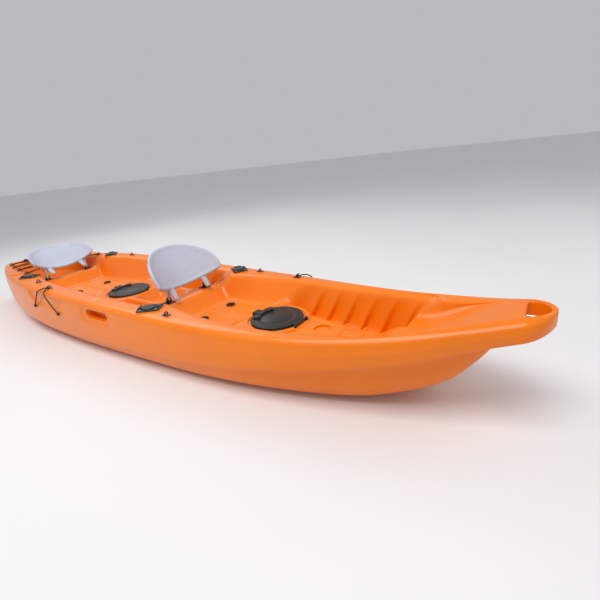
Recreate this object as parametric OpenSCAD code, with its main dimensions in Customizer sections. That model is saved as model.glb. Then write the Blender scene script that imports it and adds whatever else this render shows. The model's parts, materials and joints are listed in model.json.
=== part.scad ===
/* [Hull] */
// Length over all
hull_length = 3700; // [3500:10:3900]
// Greatest beam over the gunwales
beam = 784; // [740:2:830]
// Gunwale height amidships above the bottom
gunwale_height = 280; // [265:1:310]
// Rise of the gunwale at the bow above amidships
bow_rise = 104; // [80:1:130]
// Wall of both hull shells
wall = 5; // [4:0.5:7]
// Width of the step between the side band and the lower hull
band_step = 22; // [16:1:30]
// Seam left between the two shells
seam = 0.3; // [0.2:0.1:0.6]

/* [Deck levels] */
// Tank well floor above the bottom
tank_floor = 162; // [140:1:180]
// Bulkheads behind the seats
bulkhead_top = 222; // [215:1:228]
// Seat pans
seat_floor = 156; // [145:1:170]
// Deck round the hatches
hatch_deck = 176; // [168:1:190]
// Foot well floors
foot_floor = 104; // [90:1:120]
// Rim of the child seat amidships
child_rim = 206; // [195:1:220]
// Depth of the child seat
child_depth = 62; // [45:1:80]

/* [Hatches] */
// Centre of the rear hatch along the hull
rear_hatch_x = -291; // [-300:1:-280]
// Centre of the front hatch along the hull
front_hatch_x = 848; // [840:1:860]
// Lid diameter
lid_d = 236; // [225:1:245]
// Overlap of the lid round the clear opening
lid_lap = 25; // [23:0.5:32]
// Depth of the storage bucket
bucket_depth = 118; // [90:1:130]

/* [Rod holders] */
// Bore of the rod holder tubes
rod_bore = 42; // [38:0.5:46]
// Depth of the rod holder tubes along their axis
rod_depth = 150; // [120:1:165]
// Lean of the tubes from upright
rod_lean = 24; // [15:1:30]
// Turn of the tubes from straight aft
rod_turn = 35; // [20:1:50]

/* [Backrests] */
// Width across the plate
rest_width = 396; // [360:1:420]
// Height of the plate
rest_height = 232; // [210:1:250]
// Thickness of the plate
rest_thick = 22; // [18:1:26]
// Radius of the plate's bend
rest_bend = 272; // [250:1:320]
// Spacing of the rear brackets from the centreline
rear_bracket_y = 135; // [120:1:145]
// Spacing of the front brackets from the centreline
front_bracket_y = 118; // [110:1:125]
// Hinge pin diameter
hinge_pin_d = 8; // [6:0.5:10]

/* [Scuppers] */
// Bore of the scupper tubes
scupper_bore = 36; // [30:0.5:40]
// Wall of the scupper tubes
scupper_wall = 5; // [4:0.5:7]
// Head of the plugs
plug_head_d = 46; // [42:1:50]

/* [Cords] */
// Bungee cord diameter
cord_d = 6; // [5:0.5:7]

/* [Fits] */
// Radial clearance of a hinge pin in its eye
pin_gap = 0.08; // [0.05:0.01:0.1]
// Clearance between a moving piece and the hull shells
move_gap = 0.8; // [0.6:0.1:0.9]
// Clearance between fixed pieces
seat_gap = 0.3; // [0.2:0.1:0.5]

/* [Hidden] */
$fn = 64;

half_length = hull_length / 2;
half_beam = beam / 2;
// The fittings keep their places along a longer or shorter hull
plan_length = 3700;
stretch = hull_length / plan_length;

// Lines of the hull: [share of half length, share of half beam]
breadth_line = [[-1, 0.285], [-0.95, 0.385], [-0.8, 0.605], [-0.6, 0.835], [-0.4, 0.965], [-0.15, 1],
    [0.1, 0.975], [0.35, 0.925], [0.5, 0.86], [0.65, 0.725], [0.8, 0.53], [0.9, 0.365], [0.96, 0.272],
    [1, 0.235]];
// Rise of the gunwale above its height amidships; the last row is the bow
sheer_line = [[-1, -14], [-0.8, 4], [-0.5, 20], [-0.2, 11], [0.1, 0], [0.4, -10], [0.58, -6], [0.75, 17],
    [0.9, 0.62 * bow_rise], [1, bow_rise]];
// Height of the parting line between the two shells
parting_line = [[-1, 158], [-0.8, 112], [-0.55, 77], [-0.2, 72], [0.1, 84], [0.4, 112], [0.65, 165],
    [0.8, 216], [0.92, 278], [1, 316]];
// Height of the keel
keel_line = [[-0.96, 118], [-0.9, 96], [-0.87, 66], [-0.82, 0], [0, 0], [0.55, 0], [0.7, 13], [0.775, 46],
    [0.857, 112], [0.9, 190], [0.928, 258]];
// Half breadth of the lower hull at the parting line, as a share of half beam
lower_line = [[-0.96, 0.29], [-0.9, 0.41], [-0.8, 0.545], [-0.6, 0.775], [-0.4, 0.905], [-0.15, 0.94],
    [0.1, 0.915], [0.35, 0.865], [0.5, 0.79], [0.65, 0.645], [0.8, 0.43], [0.88, 0.26], [0.915, 0.13],
    [0.928, 0.05]];

// Row of a table that holds x
function row_of(t, x, i = 0) = i >= len(t) - 2 || x < t[i + 1][0] ? i : row_of(t, x, i + 1);
function slope_of(t, i) =
    let (a = max(i - 1, 0), b = min(i + 1, len(t) - 1))
    (t[b][1] - t[a][1]) / (t[b][0] - t[a][0]);
function share_of(t, x, i) = min(1, max(0, (x - t[i][0]) / (t[i + 1][0] - t[i][0])));
// Fair curve through the rows of a table
function fair_at(t, x) =
    let (i = row_of(t, x), s = share_of(t, x, i), h = t[i + 1][0] - t[i][0])
    (1 + 2 * s) * (1 - s) * (1 - s) * t[i][1] + s * (1 - s) * (1 - s) * h * slope_of(t, i)
        + s * s * (3 - 2 * s) * t[i + 1][1] - s * s * (1 - s) * h * slope_of(t, i + 1);
// Level stretches joined by eased ramps
function step_at(t, x) =
    let (i = row_of(t, x), s = share_of(t, x, i))
    t[i][1] + (t[i + 1][1] - t[i][1]) * s * s * (3 - 2 * s);

bow_round = 75;
stern_round = 32;
tip_share = 0.2;
// Rounding of the plan at the two ends, from 0 at the tip to 1
function end_round(d, r) = d >= r ? 1 : sqrt(1 - pow(1 - max(d, 0) / r, 2));
function bow_end(x) = max(tip_share, end_round(half_length - x, bow_round));
function stern_end(x) = end_round(x + half_length, stern_round);
function half_breadth(x) =
    half_beam * fair_at(breadth_line, x / half_length) * bow_end(x) - stern_round * (1 - stern_end(x));
function sheer(x) = gunwale_height + fair_at(sheer_line, x / half_length) - 14 * (1 - bow_end(x));
function parting(x) = fair_at(parting_line, x / half_length) + 16 * (1 - bow_end(x));
function keel(x) = max(0, fair_at(keel_line, x / half_length));
function lower_breadth(x) =
    min(half_breadth(x) - band_step, half_beam * fair_at(lower_line, x / half_length));

// Level of the deck outside the centre console, and on it
past_sheer = 420;
floor_line = [[-1730, past_sheer], [-1640, tank_floor], [-1118, tank_floor], [-1064, bulkhead_top],
    [-1008, bulkhead_top], [-905, seat_floor], [-460, seat_floor], [-400, hatch_deck], [-250, hatch_deck],
    [-165, foot_floor], [205, foot_floor], [268, bulkhead_top], [300, bulkhead_top], [392, seat_floor],
    [690, seat_floor], [735, hatch_deck], [760, hatch_deck], [830, foot_floor], [1330, foot_floor],
    [1420, 222], [1540, 232], [1810, past_sheer]];
console_line = [[-1730, past_sheer], [-1640, tank_floor], [-1118, tank_floor], [-1064, bulkhead_top],
    [-1008, bulkhead_top], [-905, seat_floor], [-500, seat_floor], [-445, hatch_deck], [-128, hatch_deck],
    [-105, child_rim], [150, child_rim], [232, bulkhead_top], [290, bulkhead_top], [392, seat_floor],
    [650, seat_floor], [705, hatch_deck], [1290, hatch_deck], [1400, 222], [1540, 232], [1810, past_sheer]];
bowl_line = [[-112, 0], [-60, child_depth], [80, child_depth], [150, 20], [262, 0]];
function floor_z(x) = min(sheer(x) - 1, step_at(floor_line, x / stretch));
function console_z(x) = min(sheer(x) - 1, step_at(console_line, x / stretch));
function bowl(x) = step_at(bowl_line, x / stretch);

// Plan of the wells: inner edge of the gunwale, edge of the floor, edge of the console
gunwale_inner = [[-1850, 60], [-1700, 98], [-1600, 122], [-1440, 160], [-1242, 200], [-1094, 222],
    [-1000, 230], [-900, 222], [-820, 244], [-700, 266], [-500, 284], [-300, 293], [-100, 298],
    [100, 296], [240, 286], [300, 250], [360, 218], [440, 224], [540, 240], [700, 255], [850, 262],
    [1000, 258], [1200, 236], [1350, 206], [1500, 168], [1650, 116], [1760, 72], [1850, 40]];
floor_edge = [[-1850, 40], [-1700, 76], [-1557, 110], [-1300, 158], [-1094, 190], [-1000, 196], [-900, 176],
    [-800, 182], [-472, 204], [-300, 226], [-100, 244], [200, 240], [300, 206], [360, 170], [450, 164],
    [684, 176], [760, 196], [850, 206], [1000, 206], [1200, 186], [1370, 150], [1500, 112], [1650, 72],
    [1760, 40], [1850, 24]];
console_edge = [[-1850, 24], [-1700, 48], [-1557, 70], [-1094, 120], [-850, 110], [-560, 130], [-420, 178],
    [-280, 180], [-140, 136], [130, 128], [200, 146], [270, 152], [380, 130], [650, 118], [740, 160],
    [850, 152], [1000, 98], [1300, 40], [1400, 46], [1500, 60], [1650, 44], [1760, 24], [1850, 14]];
console_flank = 20;
// Footrest ridges on the outer walls: [start, pitch, count]
rear_ridges = [104 * stretch, 62 * stretch, 3];
front_ridges = [806 * stretch, 92 * stretch, 6];
ridge_depth = 26;
ridge_peak = 0.72;
ridge_slant = 64;
function ridge_end(r) = r[0] + r[1] * r[2];
function saw(t) = t < ridge_peak ? t / ridge_peak : (1 - t) / (1 - ridge_peak);
function ridge_of(r, x) =
    x <= r[0] || x >= ridge_end(r) ? 0 : ridge_depth * saw((x - r[0]) / r[1] - floor((x - r[0]) / r[1]));
function ridge(x) = ridge_of(rear_ridges, x) + ridge_of(front_ridges, x);
// Forward lean of the ridges' upper ends
lean_fade = 130;
function lean_of(r, x) = step_at([[r[0] - lean_fade, 0], [r[0], ridge_slant], [ridge_end(r), ridge_slant],
    [ridge_end(r) + lean_fade, 0]], x);
function lean(x) = lean_of(rear_ridges, x) * 0.5 + lean_of(front_ridges, x);

// Stations along the hull: even steps, with one at each foot and crest of a ridge
station_step = 58;
function ridge_stations(r) =
    [for (k = [0 : r[2] - 1]) each [r[0] + k * r[1], r[0] + (k + ridge_peak) * r[1]]];
function even(a, b) =
    let (n = max(1, round((b - a) / station_step)))
    [for (k = [1 : n - 1]) a + (b - a) * k / n];
stations = concat(
    [for (d = [0, 4, 13, stern_round]) d - half_length],
    even(stern_round - half_length, rear_ridges[0]), ridge_stations(rear_ridges), [ridge_end(rear_ridges)],
    even(ridge_end(rear_ridges), front_ridges[0]), ridge_stations(front_ridges), [ridge_end(front_ridges)],
    even(ridge_end(front_ridges), half_length - bow_round),
    [for (d = [bow_round, 48, 28, 13, 4, 0]) half_length - d]);

// Shoulder of the side band below the gunwale
shoulder_in = 8;
shoulder_drop = 16;
// Outer skin of the deck at a station: points from the step under the side band to the centreline
function deck_skin(x) =
    let (
        b = half_breadth(x), zp = parting(x), zs = sheer(x),
        yg = min(fair_at(gunwale_inner, x / stretch), 0.72 * b),
        yf = min(fair_at(floor_edge, x / stretch), yg - 0.08 * b),
        yc = min(fair_at(console_edge, x / stretch), yf - 0.2 * b),
        zf = floor_z(x), zc = console_z(x), zb = zc - bowl(x), r = ridge(x), l = lean(x),
        round_in = min(8, 0.04 * b)
    )
    [
        [x, max(lower_breadth(x) - wall - 2, 0.3 * b), zp],
        [x, b - min(5, 0.1 * b), zp],
        [x, b - 1, zp + min(10, 0.2 * (zs - zp))],
        [x, b, zp + 0.5 * (zs - zp)],
        [x, b - min(shoulder_in, 0.12 * b), zs - shoulder_drop],
        [x, b - min(24, 0.2 * b), zs],
        [x + l, yg + round_in, zs],
        [x + l * 0.9, yg - round_in, zs - min(12, (zs - zf) * 0.4)],
        [x + l * 0.15, yf + round_in - r, zf + min(12, (zs - zf) * 0.3)],
        [x, yf - 1.4 * round_in - r, zf],
        [x, yc + min(console_flank, 0.08 * b), zf],
        [x, yc, zc],
        [x, 0.78 * yc, zc],
        [x, 0.42 * yc, zb],
        [x, 0, zb]
    ];

// A point of a half section moved inwards by the wall, square to the skin
function left_normal(a, b) =
    let (d = [b[1] - a[1], b[2] - a[2]], n = norm(d))
    n < 0.01 ? [0, -1] : [-d[1], d[0]] / n;
function inset(s, i) =
    let (
        last = len(s) - 1,
        a = left_normal(s[max(i - 1, 0)], s[max(i, 1)]),
        b = left_normal(s[min(i, last - 1)], s[min(i + 1, last)]),
        m = (a + b) * wall / max(0.6, 1 + a * b)
    )
    [s[i][0], i == last ? 0 : max(s[i][1] + m[0], 0.2), s[i][2] + m[1]];
function lining(s) = [for (i = [0 : len(s) - 1]) inset(s, i)];
// Level closing of the solid ends of a shell, from its rim to the centreline
function closing(s, z) =
    let (last = len(s) - 1)
    [for (i = [0 : last]) [s[i][0], s[0][1] * 0.9 * (1 - i / last), z]];
function both_sides(s) = concat(s, [for (i = [len(s) - 2 : -1 : 0]) [s[i][0], -s[i][1], s[i][2]]]);
function reversed(l) = [for (i = [len(l) - 1 : -1 : 0]) l[i]];
function flatten(l) = [for (a = l) each a];
function quad(a, b, c, d) = [[a, b, c], [a, c, d]];

// Closed shell between a row of skin sections and a row of lining sections
module shell(skins, linings) {
    n = len(skins);
    m = len(skins[0]);
    s = n * m;
    outside = [for (i = [0 : n - 2], j = [0 : m - 2])
        each quad(i * m + j, i * m + j + 1, (i + 1) * m + j + 1, (i + 1) * m + j)];
    inside = [for (i = [0 : n - 2], j = [0 : m - 2])
        each quad(s + i * m + j, s + (i + 1) * m + j, s + (i + 1) * m + j + 1, s + i * m + j + 1)];
    rims = [for (i = [0 : n - 2])
        each concat(quad(i * m, (i + 1) * m, s + (i + 1) * m, s + i * m),
            quad(i * m + m - 1, s + i * m + m - 1, s + (i + 1) * m + m - 1, (i + 1) * m + m - 1))];
    ends = [for (j = [0 : m - 2])
        each concat(quad(j, s + j, s + j + 1, j + 1),
            quad((n - 1) * m + j, (n - 1) * m + j + 1, s + (n - 1) * m + j + 1, s + (n - 1) * m + j))];
    polyhedron(concat(flatten(skins), flatten(linings)), concat(outside, inside, rims, ends));
}

// The deck is hollow between these two places, and solid at its ends
hollow_aft = -half_length + 118;
hollow_fore = half_length - 160;
end_recess = 2;
module deck_shell() {
    skins = [for (x = stations) reversed(both_sides(deck_skin(x)))];
    linings = [for (x = stations)
        let (s = deck_skin(x), hollow = x > hollow_aft && x < hollow_fore)
        reversed(both_sides(hollow ? lining(s) : closing(s, parting(x) + end_recess)))];
    shell(skins, linings);
}

// Lower hull: flat bottom, round bilge and a side that meets the step under the band
flat_share = 0.55;
bilge_line = [[-0.96, 0.9], [-0.5, 0.62], [0.3, 0.6], [0.7, 0.85], [0.93, 1]];
function bilge(x) = fair_at(bilge_line, x / half_length);
function hull_skin(x) =
    let (b = lower_breadth(x), zk = keel(x), h = parting(x) - seam - zk, e = bilge(x))
    concat(
        [for (a = [90, 66, 46, 26])
            [x, b * (flat_share + (1 - flat_share) * pow(sin(a), e)), zk + h * (1 - pow(cos(a), e))]],
        [[x, b * flat_share, zk], [x, 0, zk]]);
lower_aft = -0.952 * half_length;
lower_fore = 0.926 * half_length;
lower_stations = concat([lower_aft], [for (x = stations) if (x > lower_aft + 8 && x < lower_fore - 8) x],
    [lower_fore]);
module lower_shell() {
    skins = [for (x = lower_stations) both_sides(hull_skin(x))];
    linings = [for (x = lower_stations)
        let (s = hull_skin(x), hollow = x > lower_aft + 40 && x < lower_fore - 60)
        both_sides(hollow ? lower_lining(s) : closing(s, s[0][2] - end_recess))];
    shell(skins, linings);
}
// Lining of the lower hull, square to its skin and level at the rim
function lower_lining(s) = [for (i = [0 : len(s) - 1])
    let (p = i == 0 ? [s[0][0], s[0][1] - wall, s[0][2]] : raised(s, i)) p];
function raised(s, i) =
    let (
        last = len(s) - 1,
        a = left_normal(s[i - 1], s[i]),
        b = left_normal(s[min(i, last - 1)], s[min(i + 1, last)]),
        m = (a + b) * wall / max(0.6, 1 + a * b)
    )
    [s[i][0], i == last ? 0 : max(s[i][1] - m[0], 0.2), min(s[i][2] - m[1], s[0][2] - 0.5)];

// Moulded boss height above the deck under a fitting, and how deep it reaches
boss_rise = 3;
boss_reach = 14;
screw_d = 4;
screw_head_d = 8;
screw_head_h = 2.4;
screw_reach = 9;
// A screw with its head on a face at the origin
module screw() {
    cylinder(d = screw_head_d, h = screw_head_h);
    translate([0, 0, -screw_reach]) cylinder(d = screw_d, h = screw_reach + 1);
}
module screw_hole(down, up = 1) {
    translate([0, 0, -down]) cylinder(d = screw_d + 2 * pin_gap, h = down + up);
}

// Hatches: [place along the hull, diameter of the moulded collar]
rear_hatch = [rear_hatch_x * stretch, 346];
front_hatch = [front_hatch_x * stretch, 304];
hatches = [rear_hatch, front_hatch];
hatch_seat = hatch_deck + boss_rise;
collar_rise = 2.5;
ring_wall = 4;
ring_thick = 5;
hatch_bore = lid_d - 2 * lid_lap;
neck_d = hatch_bore + 2 * ring_wall;
ring_d = lid_d - 10;
neck_depth = 26;
gasket_in = hatch_bore / 2 + 3;
gasket_w = 6;
gasket_rise = 2;
groove = 2;
lid_z = ring_thick + gasket_rise + seat_gap;
lid_thick = 7;
lid_hinge_x = lid_d / 2 + 9;
lid_hinge_z = lid_z + 3;
lid_pin_d = 4;
knuckle_d = 10;
knuckle_y = 36;
ear_w = 12;
ear_gap = 0.6;
ear_y = knuckle_y + ear_gap + ear_w / 2;
ear_root = ring_d / 2 - 16;
ring_screw_r = (ring_d / 2 + gasket_in + gasket_w) / 2;
ring_screws = 6;
screw_sink = 2.6;
module at_hatch(h) {
    translate([h[0], 0, hatch_seat]) children();
}
module round_ring_screws() {
    for (k = [0 : ring_screws - 1])
        rotate((k + 0.5) * 360 / ring_screws) translate([ring_screw_r, 0, 0]) children();
}
module hatch_ring(h) {
    color("dimgray") at_hatch(h) difference() {
        union() {
            cylinder(d = ring_d, h = ring_thick);
            translate([0, 0, -neck_depth]) cylinder(d = neck_d, h = neck_depth + 1);
            for (s = sides) translate([0, s * ear_y, 0]) {
                translate([ear_root, -ear_w / 2, 0]) cube([lid_hinge_x - ear_root, ear_w, ring_thick]);
                translate([lid_hinge_x - knuckle_d / 2, -ear_w / 2, 0])
                    cube([knuckle_d, ear_w, lid_hinge_z]);
                translate([lid_hinge_x, 0, lid_hinge_z]) rotate([90, 0, 0])
                    cylinder(d = knuckle_d, h = ear_w, center = true);
            }
        }
        translate([0, 0, -neck_depth - 1]) cylinder(d = hatch_bore, h = neck_depth + ring_thick + 2);
        translate([0, 0, ring_thick - groove]) difference() {
            cylinder(r = gasket_in + gasket_w + seat_gap, h = 2 * groove);
            translate([0, 0, -1]) cylinder(r = gasket_in - seat_gap, h = 3 * groove);
        }
        translate([lid_hinge_x, 0, lid_hinge_z]) rotate([90, 0, 0])
            cylinder(d = lid_pin_d + 2 * pin_gap, h = 4 * knuckle_y, center = true);
        round_ring_screws() {
            screw_hole(1, ring_thick);
            translate([0, 0, ring_thick - screw_sink])
                cylinder(d = screw_head_d + 2 * seat_gap, h = ring_thick);
        }
    }
}
module hatch_gasket(h) {
    tall = groove + gasket_rise - pin_gap;
    color("black") at_hatch(h) translate([0, 0, ring_thick - groove + pin_gap]) difference() {
        cylinder(r = gasket_in + gasket_w, h = tall);
        translate([0, 0, -1]) cylinder(r = gasket_in, h = tall + 2);
    }
}
module hatch_hinge_pin(h) {
    color("silver") at_hatch(h) translate([lid_hinge_x, 0, lid_hinge_z]) rotate([90, 0, 0])
        cylinder(d = lid_pin_d, h = 2 * (knuckle_y + ear_gap + ear_w) + 2, center = true);
}
latch_x = -lid_d / 2 + 44;
latch_w = 40;
latch_pin_d = 4;
latch_z = lid_z + lid_thick + 4.2;
latch_ear = 8;
latch_ear_y = latch_w / 2 + latch_ear / 2 + 0.5;
latch_low = 3.2;
latch_t = 5;
skirt_low = 1.6;
skirt_w = 4;
lid_step = 14;
module lid_profile() {
    r = lid_d / 2;
    top = lid_z + lid_thick;
    polygon([[0, lid_z], [r - skirt_w, lid_z], [r - skirt_w, skirt_low], [r, skirt_low], [r, lid_z + 3],
        [r - skirt_w, top - 1], [r - lid_step, top - 1], [r - lid_step - 3, top], [0, top]]);
}
module hatch_lid(h) {
    color("black") at_hatch(h) difference() {
        union() {
            rotate_extrude() lid_profile();
            translate([lid_hinge_x - 17, -knuckle_y, lid_hinge_z - 3]) cube([17, 2 * knuckle_y, 6]);
            translate([lid_hinge_x, 0, lid_hinge_z]) rotate([90, 0, 0])
                cylinder(d = knuckle_d, h = 2 * knuckle_y, center = true);
            for (s = sides) translate([latch_x, s * latch_ear_y, latch_z]) rotate([90, 0, 0])
                cylinder(d = latch_ear, h = latch_ear, center = true);
            for (s = sides) translate([latch_x - latch_ear / 2, s * latch_ear_y - latch_ear / 2, lid_z + 2])
                cube([latch_ear, latch_ear, latch_z - lid_z - 2]);
        }
        for (s = sides) translate([ear_root, s * ear_y - ear_w / 2 - 1, 0])
            cube([lid_hinge_x - ear_root, ear_w + 2, lid_z + 0.5]);
        translate([lid_hinge_x, 0, lid_hinge_z]) rotate([90, 0, 0])
            cylinder(d = lid_pin_d + 2 * pin_gap, h = 4 * knuckle_y, center = true);
        translate([latch_x, 0, latch_z]) rotate([90, 0, 0])
            cylinder(d = latch_pin_d + 2 * pin_gap, h = 2 * latch_w, center = true);
    }
}
module hatch_latch(h) {
    color("dimgray") at_hatch(h) {
        translate([latch_x, 0, latch_z]) rotate([90, 0, 0]) {
            cylinder(d = latch_t + 2, h = latch_w, center = true);
            cylinder(d = latch_pin_d, h = 2 * (latch_ear_y + latch_ear / 2) - 1, center = true);
        }
        translate([-lid_d / 2 - 3, -latch_w / 2, latch_z - latch_t / 2])
            cube([latch_x + lid_d / 2 + 3, latch_w, latch_t]);
        translate([-lid_d / 2 - 1 - latch_t, -latch_w / 2, latch_low])
            cube([latch_t, latch_w, latch_z + latch_t / 2 - latch_low]);
    }
}
bucket_wall = 2;
bucket_lip = 1.5;
module hatch_bucket(h) {
    d = hatch_bore - 1;
    color("gray") at_hatch(h) difference() {
        union() {
            translate([0, 0, -bucket_depth]) cylinder(d = d, h = bucket_depth + ring_thick + 1);
            translate([0, 0, ring_thick]) cylinder(r = gasket_in - 1, h = bucket_lip);
        }
        translate([0, 0, bucket_wall - bucket_depth]) cylinder(d = d - 2 * bucket_wall, h = 2 * bucket_depth);
    }
}
module hatch_ring_screws() {
    color("silver") for (h = hatches) at_hatch(h) round_ring_screws()
        translate([0, 0, ring_thick - screw_sink]) screw();
}
// Moulded collar round a hatch, with a notch for the hinge and one for fingers at the latch
module hatch_collar(h) {
    rim_in = lid_d / 2 + 11;
    notch = 2 * (ear_y + ear_w / 2 + 4);
    finger_notch = 2 * latch_w;
    at_hatch(h) {
        translate([0, 0, -boss_reach]) cylinder(d = h[1], h = boss_reach);
        difference() {
            translate([0, 0, -1]) cylinder(d = h[1] - 8, h = collar_rise + 1);
            translate([0, 0, -2]) cylinder(r = rim_in, h = collar_rise + 4);
            translate([0, -notch / 2, -2]) cube([h[1], notch, collar_rise + 4]);
            translate([-h[1], -finger_notch / 2, -2]) cube([h[1], finger_notch, collar_rise + 4]);
        }
    }
}

// Rod holders: [along the hull, from the centreline]
rear_rod = [-900 * stretch, 274];
front_rod = [375 * stretch, 293];
rods = [rear_rod, front_rod];
sides = [-1, 1];
tube_wall = 3;
flange_thick = 5;
flange_corner = [38, 26];
flange_round = 14;
cap_r = 33;
cap_thick = 4.5;
cap_hinge_x = -44;
cap_pin_d = 3.5;
cap_knuckle_d = 7;
cap_hinge_z = flange_thick + cap_knuckle_d / 2 + 0.5;
cap_half_w = 11;
rod_screw = [36, 27];
module at_rod(p, s) {
    translate([p[0], s * p[1], sheer(p[0]) + boss_rise]) rotate(-s * rod_turn) children();
}
module rod_outline(grow = 0) {
    hull() for (i = sides, j = sides) translate([i * flange_corner[0], j * flange_corner[1]])
        circle(r = flange_round + grow, $fn = 32);
}
module rod_tube(d, low, high) {
    rotate([0, -rod_lean, 0]) translate([0, 0, -low]) cylinder(d = d, h = low + high);
}
module rod_holder(p, s) {
    color("black") at_rod(p, s) difference() {
        union() {
            linear_extrude(flange_thick) rod_outline();
            difference() {
                rod_tube(rod_bore + 2 * tube_wall, rod_depth, 30);
                translate([-150, -150, flange_thick - 1]) cube([300, 300, 100]);
            }
            for (j = sides) translate([cap_hinge_x, j * (cap_half_w + 4), cap_hinge_z]) {
                rotate([90, 0, 0]) cylinder(d = cap_knuckle_d, h = 6, center = true);
                translate([-cap_knuckle_d / 2, -3, -cap_hinge_z + 1])
                    cube([cap_knuckle_d, 6, cap_hinge_z - 1]);
            }
            translate([cap_hinge_x, 0, cap_hinge_z]) rotate([90, 0, 0])
                cylinder(d = cap_pin_d, h = 2 * cap_half_w + 10, center = true);
        }
        rod_tube(rod_bore, rod_depth - tube_wall, 60);
        for (i = sides, j = sides) translate([i * rod_screw[0], j * rod_screw[1], 0])
            screw_hole(1, flange_thick + 1);
    }
}
module rod_cap(p, s) {
    color("black") at_rod(p, s) difference() {
        union() {
            translate([0, 0, flange_thick + 0.4]) cylinder(r = cap_r, h = cap_thick);
            translate([cap_hinge_x, -cap_half_w, cap_hinge_z - 1])
                cube([-cap_hinge_x - 20, 2 * cap_half_w, 3]);
            translate([cap_hinge_x, 0, cap_hinge_z]) rotate([90, 0, 0])
                cylinder(d = cap_knuckle_d, h = 2 * cap_half_w, center = true);
        }
        translate([cap_hinge_x, 0, cap_hinge_z]) rotate([90, 0, 0])
            cylinder(d = cap_pin_d + 2 * pin_gap, h = 4 * cap_half_w, center = true);
    }
}
module rod_screws() {
    color("silver") for (p = rods, s = sides, i = sides, j = sides)
        at_rod(p, s) translate([i * rod_screw[0], j * rod_screw[1], flange_thick]) screw();
}

// Backrests: [bracket along the hull, bracket from the centreline, lean from upright]
rear_rest = [-1032 * stretch, rear_bracket_y, 54];
front_rest = [265 * stretch, front_bracket_y, 32];
rests = [rear_rest, front_rest];
rest_axis_h = 18;
rest_seat = bulkhead_top + boss_rise;
rest_low = 28;
rest_offset = 12;
rest_centre = rest_offset + rest_bend + rest_thick;
foot_y = 105;
foot_len = 60;
foot_tip = 11;
foot_root = 17;
foot_lap = 14;
arm_w = 12;
arm_gap = 0.6;
ear_t = 5;
eye_d = 18;
base_x = 46;
base_y = 44;
base_t = 4;
base_screw_x = 16;
function back_x(y) = rest_centre - sqrt(pow(rest_bend + rest_thick, 2) - y * y);
module at_rest(r) {
    translate([r[0], 0, rest_seat + rest_axis_h]) rotate([0, -r[2], 0]) children();
}
module rest_plate() {
    corner = rest_width / 2 + 4;
    intersection() {
        translate([rest_centre, 0, rest_low]) difference() {
            cylinder(r = rest_bend + rest_thick, h = rest_height, $fn = 96);
            translate([0, 0, -1]) cylinder(r = rest_bend, h = rest_height + 2, $fn = 96);
        }
        translate([-40, 0, rest_low + rest_height - corner]) rotate([0, 90, 0]) cylinder(r = corner, h = 260);
    }
}
module arm_profile(x) {
    polygon([[0, -eye_d / 2 + 1], [x, rest_low + 2], [x, rest_low + 56], [-4, eye_d / 2 - 2]]);
}
module foot_profile() {
    polygon([[-foot_tip, rest_low - foot_len], [foot_tip, rest_low - foot_len],
        [foot_root, rest_low + foot_lap], [-foot_root, rest_low + foot_lap]]);
}
module backrest(r) {
    color("lightsteelblue") at_rest(r) difference() {
        union() {
            rest_plate();
            for (s = sides) {
                translate([back_x(foot_y) + 3, s * foot_y, 0]) rotate([90, 0, 90])
                    linear_extrude(rest_thick - 6) foot_profile();
                translate([0, s * r[1] + arm_w / 2, 0]) rotate([90, 0, 0]) linear_extrude(arm_w)
                    arm_profile(back_x(r[1]) + 8);
                translate([0, s * r[1], 0]) rotate([90, 0, 0]) cylinder(d = eye_d, h = arm_w, center = true);
            }
        }
        for (s = sides) translate([0, s * r[1], 0]) rotate([90, 0, 0])
            cylinder(d = hinge_pin_d + 2 * pin_gap, h = 3 * arm_w, center = true);
    }
}
module at_brackets(r) {
    for (s = sides) translate([r[0], s * r[1], rest_seat]) children();
}
module brackets(r) {
    ear_y = arm_w / 2 + arm_gap;
    color("black") at_brackets(r) difference() {
        union() {
            translate([-base_x / 2, -base_y / 2, 0]) cube([base_x, base_y, base_t]);
            for (s = sides) translate([0, s * (ear_y + ear_t / 2), 0]) {
                translate([-eye_d / 2, -ear_t / 2, 1]) cube([eye_d, ear_t, rest_axis_h - 1]);
                translate([0, 0, rest_axis_h]) rotate([90, 0, 0])
                    cylinder(d = eye_d, h = ear_t, center = true);
            }
        }
        translate([0, 0, rest_axis_h]) rotate([90, 0, 0])
            cylinder(d = hinge_pin_d + 2 * pin_gap, h = 2 * base_y, center = true);
        for (i = sides) translate([i * base_screw_x, 0, 0]) screw_hole(1, base_t + 1);
    }
}
module rest_pins(r) {
    pin_len = 2 * (arm_w / 2 + arm_gap + ear_t) + 4;
    color("silver") at_brackets(r) translate([0, 0, rest_axis_h]) rotate([90, 0, 0]) {
        cylinder(d = hinge_pin_d, h = pin_len, center = true);
        for (s = sides) translate([0, 0, s * (pin_len / 2 + 1)])
            cylinder(d = hinge_pin_d + 4, h = 2, center = true);
    }
}
module bracket_screws() {
    color("silver") for (r = rests) at_brackets(r) for (i = sides)
        translate([i * base_screw_x, 0, base_t]) screw();
}

// Scuppers: [along the hull, from the centreline, floor level]
scuppers = [[-722 * stretch, 97, seat_floor], [-28 * stretch, 173, foot_floor],
    [471 * stretch, 93, seat_floor], [1068 * stretch, 130, foot_floor]];
scupper_rise = 2;
scupper_d = scupper_bore + 2 * scupper_wall;
plug_stem = 26;
module scupper_plug(p, s) {
    seat = p[2] + scupper_rise + move_gap;
    color("black") translate([p[0], s * p[1], seat]) {
        cylinder(d = plug_head_d, h = 4);
        translate([0, 0, 3]) cylinder(d = 16, h = 6);
        translate([0, 0, -plug_stem]) cylinder(d = scupper_bore - 2 * move_gap, h = plug_stem + 1);
    }
}

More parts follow.
